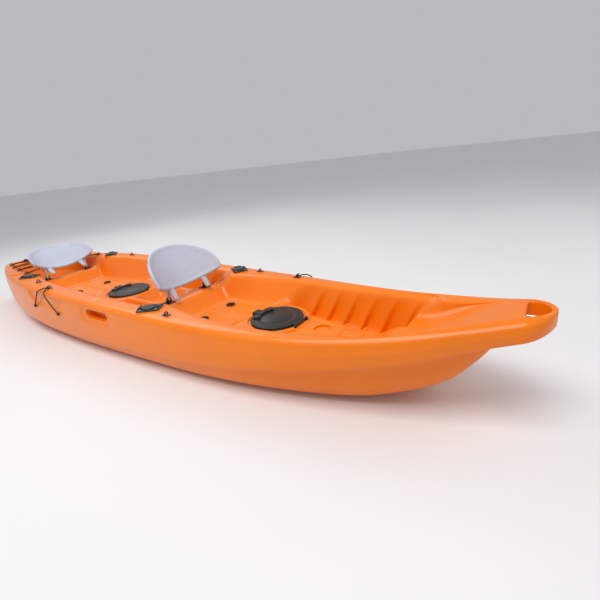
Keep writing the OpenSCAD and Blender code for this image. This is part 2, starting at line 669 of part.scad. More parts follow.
// Drain in the stern deck
drain_x = 135 - half_length;
drain_bore = 18;
drain_neck = 24;
drain_flange = [12.5, 20];
drain_thick = 4;
drain_reach = 24;
drain_screw_y = 24;
drain_head = [26, 6];
drain_grip = [22, 6, 7];
drain_boss_d = 72;
module at_drain() {
    translate([drain_x, 0, sheer(drain_x) + boss_rise]) children();
}
module drain_socket() {
    color("black") at_drain() difference() {
        union() {
            linear_extrude(drain_thick) hull() for (s = sides) translate([0, s * drain_flange[0]])
                circle(r = drain_flange[1], $fn = 32);
            translate([0, 0, -drain_reach]) cylinder(d = drain_neck, h = drain_reach + 1);
        }
        translate([0, 0, -drain_reach - 1]) cylinder(d = drain_bore, h = drain_reach + drain_thick + 2);
        for (s = sides) translate([0, s * drain_screw_y, 0]) screw_hole(1, drain_thick + 1);
    }
}
module drain_plug() {
    color("black") at_drain() {
        translate([0, 0, drain_thick + seat_gap]) cylinder(d = drain_head[0], h = drain_head[1]);
        translate([-drain_grip[0] / 2, -drain_grip[1] / 2, drain_thick + drain_head[1]]) cube(drain_grip);
        translate([0, 0, 6 - drain_reach])
            cylinder(d = drain_bore - 2 * pin_gap, h = drain_reach + drain_thick - 5);
    }
}
module drain_screws() {
    color("silver") at_drain() for (s = sides) translate([0, s * drain_screw_y, drain_thick]) screw();
}

// Pad eyes: [along the hull, from the centreline]
tank_eyes = [[-1628 * stretch, 127], [-1440 * stretch, 173], [-1242 * stretch, 211], [-1022 * stretch, 246]];
strap_eyes = [[-685 * stretch, 310], [513 * stretch, 310]];
loop_r = 8;
loop_rod = 2.5;
leg_h = 4;
eye_base = [34, 22, 3];
eye_screw_x = 12.5;
cord_h = eye_base[2] + cord_d / 2 + 1;
module at_eye(p, s) {
    translate([p[0], s * p[1], sheer(p[0]) + boss_rise]) children();
}
module pad_eye() {
    difference() {
        translate([-eye_base[0] / 2, -eye_base[1] / 2, 0]) cube(eye_base);
        for (i = sides) translate([i * eye_screw_x, 0, 0]) screw_hole(1, eye_base[2] + 1);
    }
    for (i = sides) translate([0, i * loop_r, eye_base[2] - 1]) cylinder(r = loop_rod, h = leg_h + 1);
    translate([0, 0, eye_base[2] + leg_h]) rotate([90, 0, 90]) rotate_extrude(angle = 180)
        translate([loop_r, 0]) circle(r = loop_rod, $fn = 24);
}
module tankwell_pad_eyes() {
    color("dimgray") for (p = tank_eyes, s = sides) at_eye(p, s) pad_eye();
}
module seat_strap_eyes() {
    color("dimgray") for (p = strap_eyes, s = sides) at_eye(p, s) pad_eye();
}

// A cord swept along its route; ref is a direction that the route never takes
cord_sides = 8;
function unit(v) = v / norm(v);
function along(r, i) = unit(r[min(i + 1, len(r) - 1)] - r[max(i - 1, 0)]);
function cord_ring(r, i, ref) =
    let (t = along(r, i), u = unit(cross(ref, t)), v = cross(t, u))
    [for (k = [0 : cord_sides - 1])
        r[i] + cord_d / 2 * (u * cos(360 * k / cord_sides) + v * sin(360 * k / cord_sides))];
module cord(r, ref) {
    n = len(r);
    m = cord_sides;
    wall_faces = [for (i = [0 : n - 2], k = [0 : m - 1])
        each quad(i * m + k, (i + 1) * m + k, (i + 1) * m + (k + 1) % m, i * m + (k + 1) % m)];
    end_faces = [for (k = [1 : m - 2])
        each [[0, k, k + 1], [(n - 1) * m, (n - 1) * m + k + 1, (n - 1) * m + k]]];
    polyhedron(flatten([for (i = [0 : n - 1]) cord_ring(r, i, ref)]), concat(wall_faces, end_faces));
}
wrap_r = loop_rod + cord_d / 2 + 0.5;
// Turn of the cord round a leg of a pad eye: from its fore (1) or aft (-1) side, drawn to the side of pull
function eye_turn(p, s, from, pull) =
    let (q = [p[0], s * p[1] + pull * loop_r, sheer(p[0]) + boss_rise + cord_h], w = wrap_r)
    [q + [from * w, pull * 5, 0], q + [from * 0.75 * w, -pull * 0.66 * w, 0], q + [0, -pull * w, 0],
        q + [-from * 0.75 * w, -pull * 0.66 * w, 0], q + [-from * w, pull * 5, 0]];
cord_cross = cord_d / 2 + 0.6;
function midway(a, b, rise) = [(a + b) / 2 + [0, 0, rise]];
// The lacing starts and ends at the foremost eyes: [eye, side, side it comes from, height over the crossing]
lacing = [[3, 1, 1, 1], [2, -1, 1, -1], [1, 1, 1, 1], [0, -1, 1, 0], [0, 1, -1, -1], [1, -1, -1, 1],
    [2, 1, -1, -1], [3, -1, -1, 0]];
function lacing_turn(k) = eye_turn(tank_eyes[lacing[k][0]], lacing[k][1], lacing[k][2], -lacing[k][1]);
last_turn = len(lacing) - 1;
lacing_run = [for (k = [0 : last_turn])
    let (turn = lacing_turn(k), rise = lacing[k][3] * cord_cross)
    each concat(turn, k < last_turn ? midway(turn[4], lacing_turn(k + 1)[0], rise) : [])];
// Loose ends of the lacing, knotted inboard of the foremost eyes
tail = 17;
bungee_route = concat([lacing_run[0] - [0, lacing[0][1] * tail, 0]], lacing_run,
    [lacing_run[len(lacing_run) - 1] - [0, lacing[last_turn][1] * tail, 0]]);
knot_d = 13;
module tankwell_bungee() {
    color("black") {
        cord(bungee_route, [0, 0, 1]);
        for (p = [bungee_route[0], bungee_route[len(bungee_route) - 1]])
            translate(p) sphere(d = knot_d, $fn = 24);
    }
}
// Plate tied over the lacing
tie_x = [-1218, -1134] * stretch;
tie_w = 118;
tie_t = 3;
tie_z = sheer(tie_x[1]) + boss_rise + cord_h + cord_cross + cord_d / 2 - seat_gap;
module bungee_tie_plate() {
    color("tan") translate([tie_x[0], -tie_w / 2, tie_z]) cube([tie_x[1] - tie_x[0], tie_w, tie_t]);
}

// Paddle keepers: [apex eye along the hull, from the centreline, side]
keepers = [[-477 * stretch, 341, -1], [772 * stretch, 290, 1]];
keeper_half = 145;
keeper_drop = 105;
eyelet_d = 18;
eyelet_h = 9;
eyelet_boss = 1;
side_clear = cord_d / 2 + 2;
// Share of the way to the eyelet, distance off the side, height over the gunwale
keeper_steps = [[0.93, side_clear, -97], [0.7, side_clear, -68], [0.42, side_clear, -32], [0.24, 0, -5],
    [0.1, -22, 7]];
// Half of a keeper's route, from its eyelet up the side and over the gunwale
function keeper_half_route(k, e) =
    [for (t = keeper_steps)
        let (x = k[0] + e * (wrap_r + (keeper_half - wrap_r) * t[0]))
        [x, k[2] * (half_breadth(x) + t[1]), sheer(x) + t[2]]];
function keeper_route(k) =
    concat(keeper_half_route(k, -1), eye_turn([k[0], k[1]], k[2], -1, k[2]),
        reversed(keeper_half_route(k, 1)));
module paddle_bungee(k) {
    color("black") cord(keeper_route(k), [0, 1, 0]);
}
module at_eyelets(k) {
    for (x = [k[0] - keeper_half, k[0] + keeper_half])
        translate([x, k[2] * half_breadth(x), sheer(x) - keeper_drop]) rotate([-k[2] * 90, 0, 0]) children();
}
module paddle_eyelets() {
    color("black") for (k = keepers) at_eyelets(k) translate([0, 0, eyelet_boss]) {
        cylinder(d = eyelet_d, h = eyelet_h - 3);
        cylinder(d = eyelet_d - 6, h = eyelet_h);
    }
}
module paddle_hooks() {
    color("dimgray") for (k = keepers) at_eye([k[0], k[1]], k[2]) pad_eye();
}
module eye_screws() {
    places = concat([for (p = tank_eyes, s = sides) [p, s]], [for (p = strap_eyes, s = sides) [p, s]],
        [for (k = keepers) [[k[0], k[1]], k[2]]]);
    color("silver") for (e = places, i = sides)
        at_eye(e[0], e[1]) translate([i * eye_screw_x, 0, eye_base[2]]) screw();
}

// Foam pillars that carry the seats on the bottom: [aft end, fore end]
front_foam = [420, 650] * stretch;
rear_foam = [-840, -500] * stretch;
foam_w = 116;
module foam_pillar(f) {
    color("whitesmoke") translate([f[0], -foam_w / 2, wall + seat_gap])
        cube([f[1] - f[0], foam_w, seat_floor - 2 * wall - 2 * seat_gap]);
}

// Bow grab hole and its bar, stern slot, hand holds in the sides
grab_x = half_length - 73;
grab_r = 58;
bar_d = 8;
bar_reach = 8;
bar_z = sheer(grab_x) - 24;
slot_x = half_length - 65;
slot_half = [28, 71];
hold_x = 45 * stretch;
hold_len = 180;
hold_h = 44;
hold_deep = 45;
hold_drop = 54;
module bow_handle_bar() {
    color("silver") translate([grab_x - bar_reach, 0, bar_z]) rotate([0, 90, 0])
        cylinder(d = bar_d, h = grab_r + 2 * bar_reach - 1);
}
// Hand holds lie square to the upper flat of the side
hold_z = sheer(hold_x) - hold_drop;
flat_low = (sheer(hold_x) + parting(hold_x)) / 2;
flat_rise = sheer(hold_x) - shoulder_drop - flat_low;
hold_y = half_breadth(hold_x) - shoulder_in * (hold_z - flat_low) / flat_rise;
hold_tilt = atan(shoulder_in / flat_rise);
hold_turn = atan((half_breadth(hold_x + hold_len / 2) - half_breadth(hold_x - hold_len / 2)) / hold_len);
module at_hold(s) {
    translate([hold_x, s * hold_y, hold_z]) rotate(s * hold_turn)
        rotate([-s * (90 - hold_tilt), 0, 0]) children();
}
module deck_bosses() {
    for (h = hatches) hatch_collar(h);
    for (p = scuppers, s = sides) translate([p[0], s * p[1], seam])
        cylinder(d = scupper_d, h = p[2] + scupper_rise - seam);
    for (p = rods, s = sides) at_rod(p, s) translate([0, 0, -boss_reach])
        linear_extrude(boss_reach) rod_outline(2);
    for (r = rests) at_brackets(r) translate([-base_x / 2 - 3, -base_y / 2 - 3, -boss_reach])
        cube([base_x + 6, base_y + 6, boss_reach]);
    for (p = concat(tank_eyes, strap_eyes), s = sides) at_eye(p, s) eye_boss();
    for (k = keepers) at_eye([k[0], k[1]], k[2]) eye_boss();
    at_drain() translate([0, 0, -boss_reach]) cylinder(d = drain_boss_d, h = boss_reach);
    for (k = keepers) at_eyelets(k) translate([0, 0, -boss_reach])
        cylinder(d = eyelet_d + 5, h = boss_reach + eyelet_boss);
    for (s = sides) at_hold(s) translate([-hold_len / 2 - wall, -hold_h / 2 - wall, -hold_deep - wall])
        cube([hold_len + 2 * wall, hold_h + 2 * wall, hold_deep + wall / 2]);
}
module eye_boss() {
    translate([-eye_base[0] / 2 - 3, -eye_base[1] / 2 - 3, -boss_reach])
        cube([eye_base[0] + 6, eye_base[1] + 6, boss_reach]);
}
module deck_cuts() {
    for (h = hatches) at_hatch(h) {
        translate([0, 0, -60]) cylinder(d = neck_d + 2 * seat_gap, h = 100);
        round_ring_screws() screw_hole(9);
    }
    for (p = scuppers, s = sides) translate([p[0], s * p[1], -5]) cylinder(d = scupper_bore, h = p[2] + 40);
    for (p = rods, s = sides) at_rod(p, s) {
        rod_tube(rod_bore + 2 * tube_wall + 2 * seat_gap, 100, 40);
        for (i = sides, j = sides) translate([i * rod_screw[0], j * rod_screw[1], 0]) screw_hole(6);
    }
    for (r = rests) at_brackets(r) for (i = sides) translate([i * base_screw_x, 0, 0]) screw_hole(7);
    for (p = concat(tank_eyes, strap_eyes), s = sides, i = sides)
        at_eye(p, s) translate([i * eye_screw_x, 0, 0]) screw_hole(8);
    for (k = keepers, i = sides)
        at_eye([k[0], k[1]], k[2]) translate([i * eye_screw_x, 0, 0]) screw_hole(8);
    at_drain() {
        translate([0, 0, -60]) cylinder(d = drain_neck + 2 * seat_gap, h = 80);
        for (s = sides) translate([0, s * drain_screw_y, 0]) screw_hole(7);
    }
    translate([grab_x, 0, 200]) intersection() {
        cylinder(r = grab_r, h = 300);
        translate([0, -grab_r, 0]) cube([grab_r, 2 * grab_r, 300]);
    }
    translate([grab_x - bar_reach - 1, 0, bar_z]) rotate([0, 90, 0])
        cylinder(d = bar_d + 0.4, h = grab_r + 2 * bar_reach + 1);
    translate([-slot_x - slot_half[0], -slot_half[1], 100]) cube([2 * slot_half[0], 2 * slot_half[1], 300]);
    for (s = sides) at_hold(s) translate([0, 0, -hold_deep]) linear_extrude(hold_deep + 5)
        hull() for (i = sides) translate([i * (hold_len - hold_h) / 2, 0]) circle(d = hold_h, $fn = 24);
}
module deck() {
    color("darkorange") difference() {
        union() {
            deck_shell();
            deck_bosses();
        }
        deck_cuts();
    }
}

// Skeg under the stern: [aft end, fore end, bottom]
skeg = [112 - half_length, 194 - half_length, 62];
skeg_w = 44;
skeg_round = 16;
module skeg_block() {
    top = keel(skeg[0]) + 4;
    translate([0, skeg_w / 2, 0]) rotate([90, 0, 0]) linear_extrude(skeg_w) {
        translate([skeg[0] + skeg_round, skeg[2] + skeg_round]) circle(r = skeg_round);
        translate([skeg[1] - skeg_round, skeg[2] + skeg_round]) circle(r = skeg_round);
        translate([skeg[0] + skeg_round, skeg[2]])
            square([skeg[1] - skeg[0] - 2 * skeg_round, top - skeg[2]]);
        translate([skeg[0], skeg[2] + skeg_round]) square([skeg[1] - skeg[0], top - skeg[2] - skeg_round]);
    }
}
module lower_hull() {
    color("orange") difference() {
        union() {
            lower_shell();
            skeg_block();
        }
        for (p = scuppers, s = sides) translate([p[0], s * p[1], -5])
            cylinder(d = scupper_d + 2 * seat_gap, h = 40);
    }
}

deck();
lower_hull();
hatch_ring(rear_hatch);  // rear_hatch_ring
hatch_gasket(rear_hatch);  // rear_hatch_gasket
hatch_lid(rear_hatch);  // rear_hatch_lid
hatch_hinge_pin(rear_hatch);  // rear_hatch_hinge_pin
hatch_latch(rear_hatch);  // rear_hatch_latch
hatch_bucket(rear_hatch);  // rear_hatch_bucket
hatch_ring(front_hatch);  // front_hatch_ring
hatch_gasket(front_hatch);  // front_hatch_gasket
hatch_lid(front_hatch);  // front_hatch_lid
hatch_hinge_pin(front_hatch);  // front_hatch_hinge_pin
hatch_latch(front_hatch);  // front_hatch_latch
hatch_bucket(front_hatch);  // front_hatch_bucket
hatch_ring_screws();
rod_holder(rear_rod, 1);  // rear_port_rod_holder
rod_cap(rear_rod, 1);  // rear_port_rod_cap
rod_holder(rear_rod, -1);  // rear_starboard_rod_holder
rod_cap(rear_rod, -1);  // rear_starboard_rod_cap
rod_holder(front_rod, 1);  // front_port_rod_holder
rod_cap(front_rod, 1);  // front_port_rod_cap
rod_holder(front_rod, -1);  // front_starboard_rod_holder
rod_cap(front_rod, -1);  // front_starboard_rod_cap
rod_screws();  // rod_holder_screws
backrest(rear_rest);  // rear_backrest
brackets(rear_rest);  // rear_backrest_brackets
rest_pins(rear_rest);  // rear_backrest_pins
backrest(front_rest);  // front_backrest
brackets(front_rest);  // front_backrest_brackets
rest_pins(front_rest);  // front_backrest_pins
bracket_screws();
scupper_plug(scuppers[0], 1);  // rear_seat_port_plug
scupper_plug(scuppers[0], -1);  // rear_seat_starboard_plug
scupper_plug(scuppers[1], 1);  // rear_footwell_port_plug
scupper_plug(scuppers[1], -1);  // rear_footwell_starboard_plug
scupper_plug(scuppers[2], 1);  // front_seat_port_plug
scupper_plug(scuppers[2], -1);  // front_seat_starboard_plug
scupper_plug(scuppers[3], 1);  // front_footwell_port_plug
scupper_plug(scuppers[3], -1);  // front_footwell_starboard_plug
drain_socket();
drain_plug();
drain_screws();
tankwell_pad_eyes();
seat_strap_eyes();
eye_screws();
tankwell_bungee();
bungee_tie_plate();
paddle_bungee(keepers[0]);  // starboard_paddle_bungee
paddle_bungee(keepers[1]);  // port_paddle_bungee
paddle_eyelets();
paddle_hooks();
foam_pillar(front_foam);  // front_foam_pillar
foam_pillar(rear_foam);  // rear_foam_pillar
bow_handle_bar();
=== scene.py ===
import json
import math
import bmesh
import bpy
import numpy as np
from mathutils import Matrix, Vector


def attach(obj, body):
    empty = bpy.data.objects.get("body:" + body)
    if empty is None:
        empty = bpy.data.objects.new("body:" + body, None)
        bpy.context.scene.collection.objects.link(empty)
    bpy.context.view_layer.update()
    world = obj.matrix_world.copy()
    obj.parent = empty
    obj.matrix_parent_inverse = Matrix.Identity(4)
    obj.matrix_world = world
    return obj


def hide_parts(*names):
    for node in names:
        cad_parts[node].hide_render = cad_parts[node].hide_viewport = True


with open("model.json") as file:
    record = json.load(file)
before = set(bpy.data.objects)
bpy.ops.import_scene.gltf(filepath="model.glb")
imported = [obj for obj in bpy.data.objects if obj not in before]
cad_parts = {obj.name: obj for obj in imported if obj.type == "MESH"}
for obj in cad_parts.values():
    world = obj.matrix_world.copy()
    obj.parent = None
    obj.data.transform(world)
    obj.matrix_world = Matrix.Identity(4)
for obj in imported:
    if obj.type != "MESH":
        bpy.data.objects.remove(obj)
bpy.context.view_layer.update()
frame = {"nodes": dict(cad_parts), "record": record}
nodes = frame["nodes"]
mm = 0.001
bothSides = (1, -1)
ends = ("rear", "front")
print("frame loaded,", len(nodes), "nodes")


class Wire:
    # a node socket that takes part in plain arithmetic
    def __init__(self, shade, socket):
        self.shade, self.socket = shade, socket

    def maths(self, operation, first, second):
        return self.shade.node("ShaderNodeMath", {"operation": operation}, {0: first, 1: second})

    def __add__(self, other):
        return self.maths("ADD", self, other)

    def __radd__(self, other):
        return self.maths("ADD", other, self)

    def __sub__(self, other):
        return self.maths("SUBTRACT", self, other)

    def __rsub__(self, other):
        return self.maths("SUBTRACT", other, self)

    def __mul__(self, other):
        return self.maths("MULTIPLY", self, other)

    def __rmul__(self, other):
        return self.maths("MULTIPLY", other, self)


class Shade:
    # one material: a principled surface and the nodes that feed it
    def __init__(self, name, **constants):
        self.material = bpy.data.materials.new(name)
        self.material.use_nodes = True
        self.tree = self.material.node_tree
        self.surface = self.tree.nodes["Principled BSDF"]
        for socketName, value in constants.items():
            self.surface.inputs[socketName.replace("_", " ")].default_value = value

    def node(self, kind, settings=None, inputs=None, out=0):
        made = self.tree.nodes.new(kind)
        for key, value in (settings or {}).items():
            setattr(made, key, value)
        for key, value in (inputs or {}).items():
            if isinstance(value, Wire):
                self.tree.links.new(value.socket, made.inputs[key])
            else:
                made.inputs[key].default_value = value
        return Wire(self, made.outputs[out])

    def place(self, scale=(1, 1, 1)):
        where = self.node("ShaderNodeTexCoord", out="Object")
        return self.node("ShaderNodeMapping", {}, {"Vector": where, "Scale": scale})

    def noise(self, scale, detail=3.0, roughness=0.5, stretch=(1, 1, 1)):
        return self.node("ShaderNodeTexNoise", {}, {"Vector": self.place(stretch), "Scale": scale,
                         "Detail": detail, "Roughness": roughness}, "Fac")

    def grey(self, value, low, high):
        limits = {"Value": value, "From Min": low, "From Max": high}
        return self.node("ShaderNodeMapRange", {"clamp": True}, limits)

    def sine(self, value):
        return self.node("ShaderNodeMath", {"operation": "SINE"}, {0: value})

    def mix(self, share, first, second):
        return self.node("ShaderNodeMix", {"data_type": "RGBA"}, {0: share, 6: first, 7: second}, 2)

    def bump(self, height, strength, distance):
        sockets = {"Height": height, "Strength": strength, "Distance": distance}
        return self.node("ShaderNodeBump", {}, sockets, "Normal")

    def feed(self, **links):
        for socketName, value in links.items():
            self.tree.links.new(value.socket, self.surface.inputs[socketName.replace("_", " ")])
        return self.material


def linked(name, data):
    made = bpy.data.objects.new(name, data)
    bpy.context.scene.collection.objects.link(made)
    return made


def finishPiece(piece, material, body, smooth=40):
    # one finish all over, smooth but for edges past an angle, carried by a body
    mesh = piece.data
    mesh.materials.clear()
    mesh.materials.append(material)
    mesh.shade_smooth()
    mesh.set_sharp_from_angle(angle=math.radians(smooth))
    if body:
        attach(piece, body)
    return piece


def joinedMesh(name, shapes):
    # shapes are pairs of points in millimetres and faces
    points, faces, base = [], [], 0
    for p, f in shapes:
        points.append(p)
        faces += [[base + i for i in face] for face in f]
        base += len(p)
    mesh = bpy.data.meshes.new(name)
    mesh.from_pydata((np.vstack(points) * mm).tolist(), [], faces)
    return mesh


def tidyMesh(piece):
    # merges doubles on the axis and points all faces outwards
    work = bmesh.new()
    work.from_mesh(piece.data)
    bmesh.ops.remove_doubles(work, verts=work.verts, dist=1e-6)
    bmesh.ops.dissolve_degenerate(work, edges=work.edges, dist=1e-7)
    bmesh.ops.recalc_face_normals(work, faces=work.faces)
    work.to_mesh(piece.data)
    work.free()


def assemble(name, shapes, material, body=None, smooth=40):
    # several closed shapes as one piece
    piece = linked(name, joinedMesh(name, shapes))
    tidyMesh(piece)
    return finishPiece(piece, material, body, smooth)


def cutWith(piece, shapes):
    # takes the joined shapes out of a piece and keeps the result as its mesh
    knife = linked("knife", joinedMesh("knife", shapes))
    cut = piece.modifiers.new("holes", "BOOLEAN")
    cut.operation, cut.solver, cut.object = "DIFFERENCE", "EXACT", knife
    ready = bpy.data.meshes.new_from_object(piece.evaluated_get(bpy.context.evaluated_depsgraph_get()))
    piece.modifiers.clear()
    piece.data = ready
    bpy.data.objects.remove(knife)


def orangePiece(name, shapes, cutters=()):
    # a piece of the orange moulding, with cutters taken out of it
    piece = assemble(name, shapes, orange)
    if cutters:
        cutWith(piece, cutters)
    return finishPiece(piece, orange, "hull")


def gridFaces(rows, columns, aroundRows=False, aroundColumns=False):
    # quads between neighbours of a grid numbered row by row; either way may close on itself
    i = np.arange(rows if aroundRows else rows - 1)[:, None] * columns
    j = np.arange(columns if aroundColumns else columns - 1)[None, :]
    down, right = (i + columns) % (rows * columns), (j + 1) % columns
    return np.stack([i + j, down + j, down + right, i + right], -1).reshape(-1, 4)


def liddedFaces(rows, n):
    # quads round a stack of rows of n points, with one flat face at each end
    last = (rows - 1) * n
    return gridFaces(rows, n, False, True).tolist() + [list(range(n)), list(range(last, last + n))[::-1]]


def hubbedFaces(rows, n):
    # quads round a stack of rows of n points, with fans to two hubs numbered after them
    here, last, hub = np.arange(n), (rows - 1) * n, rows * n
    pairs = list(zip(here, np.roll(here, -1)))
    fans = [[hub, b, a] for a, b in pairs] + [[hub + 1, last + a, last + b] for a, b in pairs]
    return gridFaces(rows, n, False, True).tolist() + fans


def facesOut(points, faces):
    # turns all faces round if the closed shape's signed volume is below zero
    p = np.asarray(points, float) - np.mean(points, 0)
    volume = 0.0
    for f in (np.array([q for q in faces if len(q) == n]) for n in {len(q) for q in faces}):
        for k in range(1, f.shape[1] - 1):
            volume += np.einsum("ij,ij->i", p[f[:, 0]], np.cross(p[f[:, k]], p[f[:, k + 1]])).sum()
    return [list(f)[::-1] for f in faces] if volume < 0 else [list(f) for f in faces]


def ringsAlong(route, ahead, side, radius, sides):
    # circles of one radius square to a route, from its way ahead and one normal at each point
    turn = np.linspace(0, 2 * np.pi, sides, endpoint=False)[None, :, None]
    other = np.cross(ahead, side)
    rings = route[:, None] + radius * (np.cos(turn) * side[:, None] + np.sin(turn) * other[:, None])
    return rings.reshape(-1, 3)


def unit(rows):
    # each row at length one
    return rows / np.linalg.norm(rows, axis=1, keepdims=True)


def stepLengths(route):
    return np.linalg.norm(np.diff(route, axis=0), axis=1)


def tube(name, route, radius, material, sides, body, knots=()):
    # circles carried along a route, their frames turned as little as possible; knots are joined on
    route = np.asarray(route, float)
    count = len(route)
    ahead = np.roll(route, -1, 0) - np.roll(route, 1, 0)
    ahead[0], ahead[-1] = route[1] - route[0], route[-1] - route[-2]
    ahead = unit(ahead)
    side = np.zeros_like(route)
    ref = np.eye(3)[np.argmin(np.abs(ahead[0]))]
    for k in range(count):
        ref = ref - ahead[k] * (ref @ ahead[k])
        ref = ref / np.linalg.norm(ref)
        side[k] = ref
    points = np.vstack([ringsAlong(route, ahead, side, radius, sides), route[:1], route[-1:]])
    shapes = [(points, facesOut(points, hubbedFaces(count, sides)))] + list(knots)
    piece = assemble(name, shapes, material, body, 60)
    # the cord's own map: metres along it, and the share of a turn
    run = np.concatenate([[0], np.cumsum(stepLengths(route))]) * mm
    chart = piece.data.uv_layers.new(name="cordChart")
    corner = np.zeros(len(piece.data.loops), np.int32)
    piece.data.loops.foreach_get("vertex_index", corner)
    uv = np.stack([run[np.minimum(corner // sides, count - 1)], corner % sides / sides], -1)
    chart.data.foreach_set("uv", uv.astype(np.float32).ravel())
    return piece


def smoothRoute(points, steps):
    # Catmull-Rom curve through the points
    p = np.asarray(points, float)
    p = np.vstack([2 * p[0] - p[1], p, 2 * p[-1] - p[-2]])
    s = np.linspace(0, 1, steps, endpoint=False)[None, :, None]
    a, b, c, d = (p[k:len(p) - 3 + k][:, None] for k in range(4))
    bend, twist = 2 * a - 5 * b + 4 * c - d, 3 * b - a - 3 * c + d
    curve = 0.5 * (2 * b + (c - a) * s + bend * s ** 2 + twist * s ** 3)
    return np.vstack([curve.reshape(-1, 3), p[-2:-1]])


def placed(points, place):
    # a 4 by 4 place applied to rows of points in millimetres
    points, place = np.asarray(points, float), np.array(place)
    return points @ place[:3, :3].T + place[:3, 3]


def moved(shapes, place):
    return [(placed(points, place), faces) for points, faces in shapes]


def at(x, y, z, turnZ=0.0, turnY=0.0, turnX=0.0):
    # turned in degrees about x, then y, then z, and then moved
    spin = Matrix.Rotation(math.radians(turnZ), 4, "Z") @ Matrix.Rotation(math.radians(turnY), 4, "Y")
    return Matrix.Translation((x, y, z)) @ spin @ Matrix.Rotation(math.radians(turnX), 4, "X")


def turned(profile, centre, sides=96, arc=None):
    # a closed profile of (radius, height) pairs turned about an upright line; an arc leaves a sector open
    profile = np.asarray(profile, float)
    n, full = len(profile), arc is None
    turn = np.linspace(0, 2 * np.pi, sides, endpoint=False) if full else np.radians(np.linspace(*arc, sides))
    turn, radius = turn[:, None], profile[None, :, 0]
    height = np.broadcast_to(profile[None, :, 1], (sides, n))
    points = np.stack([radius * np.cos(turn), radius * np.sin(turn), height], -1)
    points = points.reshape(-1, 3) + np.asarray(centre, float)
    faces = gridFaces(sides, n, full, True).tolist()
    if not full:
        faces += [list(range(n))[::-1], [(sides - 1) * n + k for k in range(n)]]
    return points, facesOut(points, faces)


def sleeve(bore, face, radius, bevel, half, place, sides):
    # a tube with bevelled outer edges, where face is the outer radius of its two end faces
    profile = [(bore, -half), (face, -half), (radius, bevel - half), (radius, half - bevel), (face, half),
               (bore, half)]
    return moved([turned(profile, (0, 0, 0), sides)], place)[0]


def circleLine(radius, count=48):
    # even steps round a circle
    turn = np.linspace(0, 2 * np.pi, count, endpoint=False)
    return np.stack([radius * np.cos(turn), radius * np.sin(turn)], -1)


def roundedBox(halfX, halfY, radius, count=8):
    # quarter circles at four corners
    quarter = np.linspace(0, np.pi / 2, count)
    corner = np.stack([np.cos(quarter), np.sin(quarter)], -1) * radius
    rows = []
    for k, (sx, sy) in enumerate(((1, 1), (-1, 1), (-1, -1), (1, -1))):
        c, s = math.cos(k * math.pi / 2), math.sin(k * math.pi / 2)
        spun = np.stack([corner[:, 0] * c - corner[:, 1] * s, corner[:, 0] * s + corner[:, 1] * c], -1)
        rows.append(spun + [sx * (halfX - radius), sy * (halfY - radius)])
    return np.concatenate(rows)


def inwardOf(outline):
    # unit normals to the left of a closed outline's way round
    ahead = np.roll(outline, -1, 0) - np.roll(outline, 1, 0)
    return np.stack([-ahead[:, 1], ahead[:, 0]], -1) / np.linalg.norm(ahead, axis=1, keepdims=True)


def softLoop(outline, rounds):
    # a closed outline averaged with its neighbours
    for _ in range(rounds):
        outline = 0.25 * np.roll(outline, 1, 0) + 0.5 * outline + 0.25 * np.roll(outline, -1, 0)
    return outline


def stacked(outline, rows):
    # copies of an outline, each pulled in along its normals and set at a height
    outline = np.asarray(outline, float)
    inward, n = inwardOf(outline), len(outline)
    return np.vstack([np.column_stack([outline + inward * pull, np.broadcast_to(h, n)]) for pull, h in rows])


def prism(outline, low, high, place):
    # an outline carried straight up between two heights, closed at both
    points = placed(stacked(outline, [(0.0, low), (0.0, high)]), place)
    return points, facesOut(points, liddedFaces(2, len(outline)))


flareTurns, flareReach = (0, 15, 30, 45, 60, 75, 88), 60


def flared(outline, low, high, roll, place):
    # a cutter whose wall turns outwards over a quarter circle, so it leaves a rolled edge; high may vary
    rows = [(0.0, low)]
    rows += [(roll * (math.cos(a) - 1), high - roll + roll * math.sin(a)) for a in np.radians(flareTurns)]
    rows.append((rows[-1][0], high + flareReach))
    points = placed(stacked(outline, rows), place)
    return points, facesOut(points, liddedFaces(len(rows), len(outline)))


rollTurns = (0, 22.5, 45, 67.5, 90)


def pad(outline, low, high, bevel, place, both=False):
    # a block with the outline's plan, its top edge or both edges rolled over a quarter circle
    rows = [(bevel * (1 - math.cos(a)), high - bevel * (1 - math.sin(a))) for a in np.radians(rollTurns)]
    rows = ([(pull, low + high - h) for pull, h in rows[::-1]] if both else [(0.0, low)]) + rows
    middle = np.mean(outline, 0)
    points = placed(np.vstack([stacked(outline, rows), [[*middle, low]], [[*middle, high]]]), place)
    return points, facesOut(points, hubbedFaces(len(rows), len(outline)))


orangeLook = {"colour": (0.88, 0.192, 0.002, 1), "pale": (0.95, 0.245, 0.004, 1), "roughness": 0.31,
              "coat": 0.22, "clouding": 0.55, "cloudScale": 3.2, "scuffing": 0.15, "scuffScale": 26,
              "scuffStretch": (0.25, 2.2, 2.2), "peel": 0.22, "peelDepth": 0.00025, "peelScale": 420,
              "waveScale": 95}


